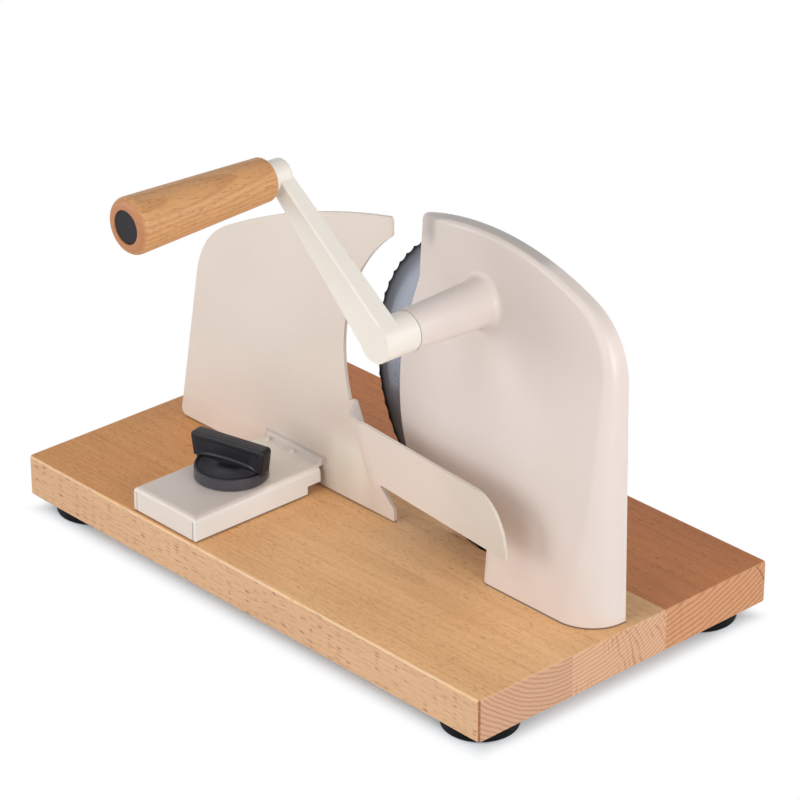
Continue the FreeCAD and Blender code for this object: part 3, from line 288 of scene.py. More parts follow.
@dataclass(frozen=True)
class BeechBoard:
    """Oiled beech stave sawn from a log, with its rings, fibres, flecks and end grain.

    A Triple that names a pattern is its number of blobs per metre along X, Y and Z.
    """

    name: str
    slab: Slab
    log_y: float
    log_z: float
    seed: float
    top_light: Colour = shown(243, 195, 142)
    top_dark: Colour = shown(217, 162, 108)
    side_light: Colour = shown(222, 180, 139)
    side_dark: Colour = shown(199, 152, 110)
    end_light: Colour = shown(204, 160, 130)
    end_dark: Colour = shown(166, 116, 84)
    fleck: Colour = shown(106, 64, 40)
    # Colour of the painted highlight on the rounded upper edge.
    edge_highlight: Colour = shown(252, 222, 182)
    corner_brown: Colour = shown(148, 80, 48)
    cracked: Colour = shown(104, 52, 26)
    # Factor of the painted shade at the top's -X end.
    end_shade: Colour = (0.82, 0.65, 0.46)
    tilt: float = 0.09
    ring_width: float = 0.0023
    ring_contrast: float = 0.55
    rays: float = 0.35
    spokes: float = 30.0
    taper: float = 0.010
    fibres: Triple = (24.0, 1300.0, 1300.0)
    clouds: Triple = (6.0, 34.0, 34.0)
    drifts: Triple = (2.2, 17.0, 17.0)
    ripples: Triple = (14.0, 190.0, 190.0)
    dashes: Triple = (140.0, 2800.0, 2800.0)
    dense_parts: Triple = (26.0, 80.0, 80.0)
    ray_parts: Triple = (0.0, 60.0, 60.0)
    vessel_holes: Triple = (60.0, 2400.0, 2400.0)
    drift_reach: float = 0.009
    ripple_reach: float = 0.0009
    grain_depth: float = 0.00012
    crack_from_back: float = 0.0095
    crack_run: float = 0.0080
    crack_depth: float = 0.0119
    crack_curve: float = 0.72

    def material(self) -> bpy.types.Material:
        """Solid wood: rings are shells round the log's axis, fibres run along X."""
        s = Shader(self.name)
        place = s.place()
        x, y, z = s.split(place)
        seed = (self.seed,) * 3
        across = y - self.log_y
        up = z - self.log_z
        radius = self._radius(s, place, across, up, x)
        season = (radius / self.ring_width).fraction()
        late = season.rise(0.45, 0.90) * season.fall(0.92, 1.0)
        fibre = s.noise(s.stretch(place, self.fibres, seed), detail=3.0, rough=0.62)
        cloud = s.noise(s.stretch(place, self.clouds, seed), detail=2.0)
        flecks = self._flecks(s, place, seed)

        on_top = z.rise(self.slab.top - 0.0009, self.slab.top - 0.0002)
        on_end = abs(x).rise(self.slab.half_length - 0.0013, self.slab.half_length - 0.0002)
        tone = (late * 0.14 + (fibre - 0.5) * 0.80 + (cloud - 0.5) * 0.8 + 0.40).rise(0.0, 1.0)
        side = s.blend(tone, self.side_light, self.side_dark)
        side = s.blend(flecks * 0.85, side, self.fleck)
        top = s.blend(tone, self.top_light, self.top_dark)
        top = s.blend(flecks * 0.45, top, self.fleck)
        # Painted shade: the top darker and warmer towards the -X end.
        shaded_top = s.blend(1.0, top, self.end_shade, "MULTIPLY")
        top = s.blend((x * -1.0).rise(-0.04, 0.13), top, shaded_top)
        colour = s.blend(on_top, side, top)
        # Painted highlight along the rounded upper edge.
        colour = s.blend(self._edge_highlight_mask(s, x, y, z) * 0.45, colour, self.edge_highlight)
        colour = s.blend(on_end, colour, self._end_grain(s, place, seed, across, up, radius, late))
        # Dark brown mottled line down the front +X corner.
        colour = s.blend(self._corner_line(s, place, x, y), colour, self.corner_brown)
        colour = s.blend(self._crack(s, x, y, z) * on_end, colour, self.cracked)

        normal = s.bump(fibre * 0.5 - flecks * 0.6, self.grain_depth, 0.5)
        rough = 0.47 + (fibre - 0.5) * 0.22 + flecks * 0.2
        return s.finish(Base_Color=colour, Roughness=rough, Normal=normal,
                        Specular_IOR_Level=0.40)

    def _radius(self, s: Shader, place: Val, across: Val, up: Val, x: Val) -> Val:
        """Distance from the log's axis, with slow drift and a fine ripple."""
        seed = (self.seed,) * 3
        drift = s.noise(s.stretch(place, self.drifts, seed), detail=2.0)
        ripple = s.noise(s.stretch(place, self.ripples, seed), detail=2.0)
        return (s.distance(across, up) + x * self.taper
                + (drift - 0.5) * self.drift_reach + (ripple - 0.5) * self.ripple_reach)

    def _flecks(self, s: Shader, place: Val, seed: Triple) -> Val:
        """Short thin dark pith rays that lie along X, denser in some patches."""
        x, y, z = s.split(place)
        tilted = s.join(x, y, z + x * self.tilt)
        dashes = s.noise(s.stretch(tilted, self.dashes, seed), detail=0.0)
        dense = s.noise(s.stretch(place, self.dense_parts, seed), detail=1.0)
        return (dashes + (dense - 0.5) * 0.08).rise(0.67, 0.74)

    def _end_grain(self, s: Shader, place: Val, seed: Triple, across: Val, up: Val,
                   radius: Val, late: Val) -> Val:
        """Colour of the sawn ends: rings, rays towards the log's heart and fine vessels."""
        turn = s.math("ARCTAN2", across, up * -1.0)
        sway = s.noise(s.join(turn * 30.0, radius * 60.0, self.seed), detail=2.0)
        spoke = (turn * self.spokes + sway * 1.6).fraction()
        patchy = s.noise(s.stretch(place, self.ray_parts, seed), detail=1.0)
        lines = spoke.rise(0.70, 0.86) * spoke.fall(0.90, 1.0) * patchy.rise(0.35, 0.55)
        vessels = s.noise(s.stretch(place, self.vessel_holes, seed), detail=1.0)
        tone = late * self.ring_contrast + lines * self.rays + (vessels - 0.5) * 0.5 + 0.14
        return s.blend(tone.rise(0.0, 1.0), self.end_light, self.end_dark)

    def _edge_highlight_mask(self, s: Shader, x: Val, y: Val, z: Val) -> Val:
        """The rounded upper edge along the front and the ends, where a painted highlight makes it
        lighter.
        """
        inward = s.math("MINIMUM", y - self.slab.front, self.slab.half_length - abs(x))
        return (inward.fall(0.0007, 0.0014)
                * z.rise(self.slab.top - 0.0014, self.slab.top - 0.0006))

    def _corner_line(self, s: Shader, place: Val, x: Val, y: Val) -> Val:
        """Mottled brown line down the rounded corner between the front and the +X end."""
        inward_x = self.slab.half_length - x
        inward_y = y - self.slab.front
        wander = s.noise(s.stretch(place, (0.0, 0.0, 420.0)), detail=2.0)
        offset = abs(inward_x - inward_y + (wander - 0.5) * 0.0012)
        near = (inward_x + inward_y).fall(0.0022, 0.0036)
        return near * offset.fall(0.0004, 0.0014) * wander.rise(0.1, 0.6)

    def _crack(self, s: Shader, x: Val, y: Val, z: Val) -> Val:
        """Hairline check in the +X end: y = back - start + run * (depth / full depth) ** curve."""
        depth = s.math("MAXIMUM", self.slab.top - z, 0.0)
        line = ((depth / self.crack_depth) ** self.crack_curve * self.crack_run
                + (self.slab.back - self.crack_from_back))
        return (abs(y - line).fall(0.0001, 0.00045) * depth.fall(0.0115, 0.0135)
                * x.rise(0.0, 0.01))


@dataclass(frozen=True)
class TurnedBeech:
    """Turned and oiled beech of the handle, with its fibres along Y."""

    name: str
    log_x: float
    log_z: float
    face_y: float
    light: Colour = shown(214, 161, 107)
    dark: Colour = shown(178, 120, 72)
    end: Colour = shown(176, 114, 72)
    fleck: Colour = shown(112, 68, 42)
    ring_width: float = 0.0029
    fibres: Triple = (1500.0, 40.0, 1500.0)
    drifts: Triple = (30.0, 9.0, 30.0)
    ripples: Triple = (230.0, 30.0, 230.0)
    dashes: Triple = (2900.0, 230.0, 2900.0)
    taper: float = 0.05
    drift_reach: float = 0.012
    ripple_reach: float = 0.0012
    grain_depth: float = 0.00010

    def material(self) -> bpy.types.Material:
        """Solid wood with rings round a log axis along Y and a deeper tone at the end face."""
        s = Shader(self.name)
        place = s.place()
        x, y, z = s.split(place)
        drift = s.noise(s.stretch(place, self.drifts), detail=2.0)
        ripple = s.noise(s.stretch(place, self.ripples), detail=2.0)
        radius = (s.distance(x - self.log_x, z - self.log_z) + y * self.taper
                  + (drift - 0.5) * self.drift_reach + (ripple - 0.5) * self.ripple_reach)
        season = (radius / self.ring_width).fraction()
        late = season.rise(0.25, 0.9) * season.fall(0.9, 1.0)
        fibre = s.noise(s.stretch(place, self.fibres), detail=3.0, rough=0.6)
        flecks = s.noise(s.stretch(place, self.dashes), detail=0.0).rise(0.67, 0.75)
        tone = late * 0.26 + (fibre - 0.5) * 0.65 + 0.32
        colour = s.blend(tone.rise(0.0, 1.0), self.light, self.dark)
        colour = s.blend(flecks * 0.5, colour, self.fleck)
        colour = s.blend((y - self.face_y).fall(0.0004, 0.0022) * 0.8, colour, self.end)
        normal = s.bump(fibre * 0.5 - flecks * 0.7, self.grain_depth, 0.5)
        rough = 0.44 + (fibre - 0.5) * 0.2 + flecks * 0.2
        return s.finish(Base_Color=colour, Roughness=rough, Normal=normal,
                        Specular_IOR_Level=0.45)


@dataclass(frozen=True)
class PaintedLight:
    """Soft-edged box of painted light or painted shade, in which a finish is lighter or darker."""

    low: Triple
    high: Triple
    factor: Colour
    soft: Triple = (0.002, 0.002, 0.002)
    lean: float = 0.0

    def over(self, s: Shader, place: Val, colour: Val) -> Val:
        """Colour times factor inside the box, whose Y sides lean back by lean * Z."""
        x, y, z = s.split(place)
        parts = (x, y - z * self.lean, z)
        inside = 1.0
        for part, low, high, soft in zip(parts, self.low, self.high, self.soft):
            inside = inside * part.rise(low - soft, low + soft)
            inside = inside * part.fall(high - soft, high + soft)
        return s.blend(inside, colour, s.blend(1.0, colour, self.factor, "MULTIPLY"))


@dataclass(frozen=True)
class Enamel:
    """Baked satin enamel with a fine flow structure, a painted contact shadow where it meets the
    board, and boxes of painted light and shade.
    """

    name: str
    colour: Colour
    shade: Colour
    board_top: float
    roughness: float = 0.36
    flow_size: float = 620.0
    flow_depth: float = 0.00004
    cloud_size: float = 26.0
    grain_size: float = 5200.0
    # Colour of the painted contact shadow along the board.
    contact_shadow: Colour = shown(78, 56, 43)
    painted_lights: tuple[PaintedLight, ...] = ()

    def material(self) -> bpy.types.Material:
        """Even colour with a faint cloud, fine orange peel and a varying gloss."""
        s = Shader(self.name)
        place = s.place()
        cloud = s.noise(place, self.cloud_size, 3.0)
        flow = s.noise(place, self.flow_size, 2.0)
        grain = s.noise(place, self.grain_size, 1.0)
        colour = s.blend(cloud.rise(0.25, 0.75) * 0.5 + (grain - 0.5) * 0.35, self.colour,
                         self.shade)
        # Painted light and painted shade, box by box.
        for painted_box in self.painted_lights:
            colour = painted_box.over(s, place, colour)
        # Painted contact shadow: darker within about a millimetre of the board's top.
        height = s.split(place)[2] - self.board_top
        colour = s.blend(height.fall(0.0004, 0.0012) * 0.92, colour, self.contact_shadow)
        normal = s.bump(flow + grain * 0.25, self.flow_depth, 0.7)
        rough = self.roughness + (cloud - 0.5) * 0.10 + (grain - 0.5) * 0.08
        return s.finish(Base_Color=colour, Roughness=rough, Normal=normal)


class Lay(Enum):
    """Direction of the fine marks on machined metal."""

    ROUND_Y = "rings round an axis along Y"
    ALONG_Y = "lines along Y"
    RANDOM = "blasted or plated, no direction"


@dataclass(frozen=True)
class Steel:
    """Machined or plated metal."""

    name: str
    colour: Colour
    axis_x: float = 0.0
    axis_z: float = 0.0
    lay: Lay = Lay.RANDOM
    roughness: float = 0.32
    mark_size: float = 3000.0
    mark_depth: float = 0.000035

    def material(self) -> bpy.types.Material:
        """Metal whose fine marks follow its lay; the axis counts for rings only."""
        s = Shader(self.name)
        place = s.place()
        if self.lay is Lay.ROUND_Y:
            x, y, z = s.split(place)
            radius = s.distance(x - self.axis_x, z - self.axis_z)
            marks = s.noise(s.join(radius * self.mark_size, y * 40.0, 0.0), detail=2.0)
        elif self.lay is Lay.ALONG_Y:
            marks = s.noise(s.stretch(place, (self.mark_size, 60.0, self.mark_size)), detail=2.0)
        else:
            marks = s.noise(place, self.mark_size, 2.0)
        stain = s.noise(place, 75.0, 3.0)
        dark = tuple(channel * 0.72 for channel in self.colour)
        colour = s.blend((marks - 0.5) * 0.9 + stain * 0.5, self.colour, dark)
        normal = s.bump(marks, self.mark_depth, 0.5)
        rough = self.roughness + (marks - 0.5) * 0.2 + (stain - 0.5) * 0.16
        return s.finish(Base_Color=colour, Metallic=1.0, Roughness=rough, Normal=normal)


@dataclass(frozen=True)
class GroundBlade:
    """Polished disc whose toothed rim is ground, its colour darkening outwards as painted dark
    reflection.
    """

    name: str
    axis_x: float
    axis_z: float
    radius: float
    teeth: int
    # inner, middle and rim darken outwards: painted dark reflection.
    inner: Colour = shown(166, 171, 184)
    middle: Colour = shown(118, 122, 131)
    rim: Colour = shown(38, 38, 42)
    dull: Colour = (0.55, 0.56, 0.58)
    mark_depth: float = 0.00012

    def material(self) -> bpy.types.Material:
        """Soft rings on the disc, radial lines and one hollow per tooth on the rim."""
        s = Shader(self.name)
        x, _, z = s.split(s.place())
        across = x - self.axis_x
        up = z - self.axis_z
        radius = s.distance(across, up)
        turn = s.math("ARCTAN2", up, across)
        rings = s.noise(s.join(radius * 1500.0, turn * 2.0, 0.0), detail=3.0, rough=0.6)
        swirl = s.noise(s.join(radius * 60.0, turn * 1.3, 0.0), detail=2.0)
        radial = s.noise(s.join(turn * 300.0, radius * 25.0, 3.0), detail=2.0, rough=0.6)
        drift = (swirl - 0.5) * 0.004
        inside = (radius + drift).rise(self.radius - 0.0140, self.radius - 0.0050)
        outside = (radius + drift).rise(self.radius - 0.0055, self.radius - 0.0010)
        marks = rings * (1.0 - inside) + radial * inside
        tooth = abs((turn * (self.teeth / (2 * math.pi))).fraction() - 0.5) * 2.0
        edge = radius.rise(self.radius - 0.0045, self.radius - 0.001)
        # Painted dark reflection: the colour falls from inner through middle to a near-black rim.
        colour = s.blend(inside, self.inner, self.middle)
        colour = s.blend(outside, colour, self.rim)
        dim = (marks - 0.5) * 0.9 + (swirl - 0.5) * 0.8 + 0.3
        colour = s.blend(dim.rise(0.0, 1.0) * 0.35, colour,
                         s.blend(1.0, colour, self.dull, "MULTIPLY"))
        normal = s.bump(marks * 0.10 + tooth * edge * 3.0, self.mark_depth, 0.6)
        rough = 0.28 + (marks - 0.5) * 0.20 + inside * 0.14
        return s.finish(Base_Color=colour, Metallic=1.0, Roughness=rough, Normal=normal)


@dataclass(frozen=True)
class Moulded:
    """Moulded plastic or rubber with a fine spark-eroded grain."""

    name: str
    colour: Colour
    bloom: Colour
    roughness: float = 0.46
    grain_size: float = 2400.0
    grain_depth: float = 0.00006
    gloss: float = 0.5
    lit_side: Colour | None = None
    lit_side_below: float = 0.0

    def material(self) -> bpy.types.Material:
        """Dark base with a faint bloom on the grain's peaks, and painted light, mottled, below a
        given height.
        """
        s = Shader(self.name)
        place = s.place()
        grain = s.noise(place, self.grain_size, 2.0)
        cloud = s.noise(place, 60.0, 3.0)
        share = grain.rise(0.35, 0.75) * 0.5 + (cloud - 0.5) * 0.4
        colour = s.blend(share, self.colour, self.bloom)
        # Painted light: lighter below the given height, on the knob the foot's side.
        if self.lit_side is not None:
            low = s.split(place)[2].fall(self.lit_side_below - 0.0012, self.lit_side_below)
            colour = s.blend(low * (0.8 + (cloud - 0.5) * 0.6), colour, self.lit_side)
        normal = s.bump(grain, self.grain_depth, 0.7)
        rough = self.roughness + (grain - 0.5) * 0.2 + (cloud - 0.5) * 0.12
        return s.finish(Base_Color=colour, Roughness=rough, Normal=normal,
                        Specular_IOR_Level=self.gloss)


# ---------------------------------------------------------------- mesh kit
def skin(name: str, patches: Sequence[np.ndarray], closed: bool = False,
         crease: float | None = None) -> bpy.types.Object:
    """Object from grids of points.

    Args:
        name: The object's name.
        patches: Arrays of rows x columns x 3, in the frame's metres.
        closed: Whether the last column of each joins its first.
        crease: Angle in radians above which an edge is sharp; None for flat shading.

    Returns:
        The object, with one quad between each four neighbours, its seams and poles welded, its
        faces outwards, and a UV map that runs 0 to 1 along the columns (U) and the rows (V).
    """
    points, quads, uvs, start = [], [], [], 0
    for patch in patches:
        rows, columns = patch.shape[:2]
        spans = columns if closed else columns - 1
        row, column = np.meshgrid(np.arange(rows - 1), np.arange(spans), indexing="ij")
        following = (column + 1) % columns
        corners = np.stack([row * columns + column, row * columns + following,
                            (row + 1) * columns + following, (row + 1) * columns + column], -1)
        quads.append(corners.reshape(-1, 4) + start)
        points.append(patch.reshape(-1, 3))
        u = np.stack([column, column + 1, column + 1, column], axis=-1) / spans
        v = np.stack([row, row, row + 1, row + 1], axis=-1) / (rows - 1)
        uvs.append(np.stack([u, v], axis=-1).reshape(-1, 2))
        start += rows * columns
    mesh = bpy.data.meshes.new(name)
    mesh.from_pydata(np.concatenate(points).tolist(), [], np.concatenate(quads).tolist())
    layer = mesh.uv_layers.new(name="surface")
    layer.data.foreach_set("uv", np.concatenate(uvs).astype(np.float32).ravel())
    if closed:
        shell = bmesh.new()
        shell.from_mesh(mesh)
        bmesh.ops.remove_doubles(shell, verts=shell.verts, dist=WELD)
        bmesh.ops.recalc_face_normals(shell, faces=shell.faces)
        shell.to_mesh(mesh)
        shell.free()
    mesh.polygons.foreach_set("use_smooth", np.full(len(mesh.polygons), crease is not None))
    if crease is not None:
        mesh.set_sharp_from_angle(angle=crease)
    mesh.update()
    piece = bpy.data.objects.new(name, mesh)
    bpy.context.scene.collection.objects.link(piece)
    return piece


def smooth_step(value: np.ndarray, low: float, high: float) -> np.ndarray:
    """0 below low, 1 above high, t * t * (3 - 2 * t) between them."""
    share = np.clip((value - low) / (high - low), 0.0, 1.0)
    return share * share * (3.0 - 2.0 * share)


def paint(piece: bpy.types.Object, material: bpy.types.Material) -> None:
    """Gives a piece that material in its first slot."""
    if not piece.data.materials:
        piece.data.materials.append(material)
    for slot in piece.material_slots:
        slot.material = material


# ---------------------------------------------------------------- sub-assemblies
@dataclass
class Frame:
    """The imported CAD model, as the looks use it."""

    nodes: dict[str, bpy.types.Object]

    def dress(self, material: bpy.types.Material, *names: str) -> None:
        """Gives CAD nodes a material and reports them."""
        for name in names:
            paint(self.nodes[name], material)
            LOG.info("%s: %s", name, material.name)

    def corners(self, name: str) -> tuple[Vector, Vector]:
        """Lowest and highest corner of a CAD node."""
        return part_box(name)

    def centre(self, name: str) -> Vector:
        """Middle of a CAD node's box."""
        low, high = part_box(name)
        return (low + high) / 2


@dataclass
class Board:
    """Beech board of three staves on rubber feet."""

    frame: Frame

    def dress(self) -> None:
        """Gives each stave wood from its own place in the log, and the feet their rubber."""
        low, high = self.frame.corners("board_stave_front")
        back = self.frame.corners("board_stave_back")[1].y
        slab = Slab((high.x - low.x) / 2, low.y, back, high.z)
        front, top = slab.front, slab.top
        staves = {
            "board_stave_front": BeechBoard(
                "beech_front", slab, log_y=front + 0.062, log_z=top + 0.060, seed=1.7, rays=0.12),
            "board_stave_middle": BeechBoard(
                "beech_middle", slab, log_y=front + 0.068, log_z=top + 0.090, seed=5.3, rays=0.55,
                end_light=shown(217, 171, 137), end_dark=shown(176, 126, 92)),
            "board_stave_back": BeechBoard(
                "beech_back", slab, log_y=front + 0.103, log_z=top + 0.190, seed=9.1, rays=0.15,
                top_light=shown(214, 135, 75), top_dark=shown(185, 108, 57),
                end_light=shown(206, 151, 108), end_dark=shown(174, 110, 70),
                end_shade=(1.0, 0.98, 0.96), ring_width=0.0031, ring_contrast=0.7),
        }
        for name, stave in staves.items():
            self.frame.dress(stave.material(), name)
        rubber = Moulded("foot_rubber", shown(6, 6, 6), shown(13, 13, 13), roughness=0.55,
                         grain_size=1500.0, gloss=0.10)
        self.frame.dress(rubber.material(), "rubber_feet")


@dataclass
class Housing:
    """Cream cast housing with its crank boss, whose front face leans back."""

    frame: Frame
    face_lean: float = 5.3
    face_from_back: float = 0.0250
    face_round: float = 0.0016
    crown_left: float = 0.030
    crown_right: float = 0.118
    crown_from: float = 0.202
    crown_painted_shade: Colour = (0.70, 0.71, 0.73)

    def dress(self) -> None:
        """Gives the casting its enamel, with painted shade on the rounded crown behind the face.
        """
        top = self.frame.corners("board_stave_front")[1].z
        lean = math.tan(math.radians(self.face_lean))
        face = self.frame.corners("housing_shell")[1].y - self.face_from_back - lean * top
        # Painted shade: the rounded crown behind the face is darker.
        crown = PaintedLight((self.crown_left, face + self.face_round, self.crown_from),
                     (self.crown_right, FAR, FAR), self.crown_painted_shade,
                     soft=(0.006, 0.0006, 0.006), lean=lean)
        enamel = Enamel("housing_enamel", shown(223, 211, 204), shown(217, 204, 196), top,
                        roughness=0.34, flow_size=480.0, painted_lights=(crown,))
        self.frame.dress(enamel.material(), "housing_shell")


@dataclass
class BladeUnit:
    """Serrated disc, its gear and its axle."""

    frame: Frame
    teeth: int = 70

    def dress(self) -> None:
        """Gives the blade its ground finish and the drive its metals."""
        low, high = self.frame.corners("blade")
        centre = self.frame.centre("blade")
        blade = GroundBlade("blade_ground", centre.x, centre.z, (high.x - low.x) / 2, self.teeth)
        turned = Steel("blade_turned_steel", shown(176, 177, 180), centre.x, centre.z,
                       Lay.ROUND_Y)
        gear = Steel("gear_steel", shown(128, 128, 130), centre.x, centre.z, Lay.ROUND_Y,
                     roughness=0.42, mark_size=1500.0)
        bronze = Steel("hub_bronze", BRONZE, roughness=0.45)
        self.frame.dress(blade.material(), "blade")
        self.frame.dress(turned.material(), "blade_axle", "retaining_washer", "retaining_screw",
                         "blade_screws")
        self.frame.dress(gear.material(), "blade_gear")
        self.frame.dress(bronze.material(), "hub_bush")


@dataclass
class Crank:
    """Cast arm on its shaft, with the pinion and the pin that carries the handle."""

    frame: Frame

    def dress(self) -> None:
        """Gives the arm its ivory enamel and the hidden drive its metals and plastic."""
        top = self.frame.corners("board_stave_front")[1].z
        enamel = Enamel("crank_enamel", shown(236, 229, 219), shown(230, 222, 211), top,
                        roughness=0.33, flow_size=520.0)
        steel = Steel("shaft_steel", shown(172, 173, 176), lay=Lay.ALONG_Y)
        bronze = Steel("crank_bronze", BRONZE, roughness=0.45)
        pinion = Moulded("pinion_plastic", shown(206, 203, 194), shown(222, 220, 212),
                         roughness=0.4)
        self.frame.dress(enamel.material(), "crank_arm")
        self.frame.dress(steel.material(), "crank_shaft", "shaft_clip", "crank_set_screw",
                         "thrust_washer", "handle_pin", "handle_washer", "handle_screw")
        self.frame.dress(bronze.material(), "crank_bushes")
        self.frame.dress(pinion.material(), "crank_pinion")


@dataclass
class Handle:
    """Turned beech handle with its sleeve and its black plug."""

    frame: Frame

    def dress(self) -> None:
        """Gives the handle its wood and the plug and the sleeve their plastic."""
        centre = self.frame.centre("handle_grip")
        face = self.frame.corners("handle_grip")[0].y
        wood = TurnedBeech("handle_beech", log_x=centre.x + 0.031, log_z=centre.z + 0.055,
                           face_y=face)
        plug = Moulded("plug_plastic", shown(20, 19, 24), shown(34, 32, 38), roughness=0.50,
                       gloss=0.22)
        sleeve = Moulded("sleeve_plastic", shown(60, 60, 62), shown(82, 82, 84), roughness=0.4)
        self.frame.dress(wood.material(), "handle_grip")
        self.frame.dress(plug.material(), "handle_cap")
        self.frame.dress(sleeve.material(), "handle_sleeve")


@dataclass
class Gauge:
    """Gauge plate with its guard and hood, guide block, and the clamp's bolt, washer and nut."""

    frame: Frame
    hood_height: float = 0.0145
    hood_left: float = -0.0875
    hood_right: float = -0.0375
    hood_middle: float = -0.022
    bend_front: float = 0.0195
    bend_back: float = 0.0260
    plate_front: float = 0.0222
    plate_back: float = 0.0270
    edge: float = 0.0012
    sharp: float = 0.0008
    soft: float = 0.002

    def dress(self) -> None:
        """Gives the sheet its enamel, and the clamp its plastic, steel and brass."""
        top = self.frame.corners("board_stave_front")[1].z
        # The sheet's enamel carries painted light and shade, box by box.
        enamel = Enamel("sheet_enamel", shown(226, 214, 204), shown(220, 207, 196), top,
                        roughness=0.37, flow_size=700.0, painted_lights=self._painted_lights(top))
        block = Moulded("block_plastic", shown(40, 40, 42), shown(60, 60, 62), roughness=0.5)
        plated = Steel("plated_steel", shown(186, 186, 184), roughness=0.36)
        brass = Steel("nut_brass", shown(204, 170, 96))
        self.frame.dress(enamel.material(), "gauge_plate")
        self.frame.dress(block.material(), "guide_block")
        self.frame.dress(plated.material(), "block_screws", "clamp_bolt", "clamp_washer",
                         "housing_screws", "foot_screws")
        self.frame.dress(brass.material(), "knob_nut")

    def _painted_lights(self, top: float) -> tuple[PaintedLight, ...]:
        """Where painted light and painted shade make the sheet lighter or darker.

        Args:
            top: Height of the board's top.

        Returns:
            The painted light and shade on the hood's top (front and rear), its bend and the bend's
            crest, the recess behind it, the hood's flank, the plate's foot and the guard's strip.
        """
        hood = top + self.hood_height
        left, right, middle = self.hood_left, self.hood_right, self.hood_middle
        sharp, soft, under = self.sharp, self.soft, hood - self.edge
        # Painted shade on the front of the hood's top, painted light on its rear.
        hood_front = PaintedLight((-FAR, -FAR, under), (-0.03, middle, hood + 0.004),
                          (0.86, 0.86, 0.88), (soft, 0.008, sharp))
        hood_rear = PaintedLight((-FAR, middle, under), (-0.03, self.bend_front, hood + 0.004),
                         (1.10, 1.14, 1.14), (soft, 0.008, sharp))
        # Painted shade on the bend and its crest, where a highlight would fall.
        bend = PaintedLight((left, self.bend_front, hood), (right, self.bend_back, hood + 0.0044),
                    (0.86,) * 3, (soft, sharp, 0.0009))
        crest = PaintedLight((left, self.bend_front + 0.001, hood + 0.0010),
                     (right, self.bend_back, hood + 0.0041), (0.87,) * 3, (soft, sharp, 0.0007))
        # Painted shade in the recess above the bend.
        recess = PaintedLight((-0.074, self.plate_front, hood + 0.0020),
                      (-0.037, self.plate_back, hood + 0.0130),
                      (0.88, 0.86, 0.84), (0.012, 0.0010, 0.009))
        # Painted light on the hood's flank and on the plate's foot.
        flank = PaintedLight((-0.0395, -FAR, top), (-0.0370, 0.0200, under),
                     (1.06, 1.20, 1.32), (0.0004, soft, 0.001))
        foot = PaintedLight((-0.034, self.plate_front, top - 0.01), (-0.006, self.plate_back, top + 0.036),
                    (1.13, 1.22, 1.21), (0.006, 0.0010, 0.008))
        # Painted shade on the guard's strip.
        strip = PaintedLight((0.085, -0.02, top), (FAR, 0.010, top + 0.1),
                     (0.90, 0.92, 0.90), (0.020, soft, 0.005))
        return hood_front, hood_rear, bend, crest, recess, flank, foot, strip


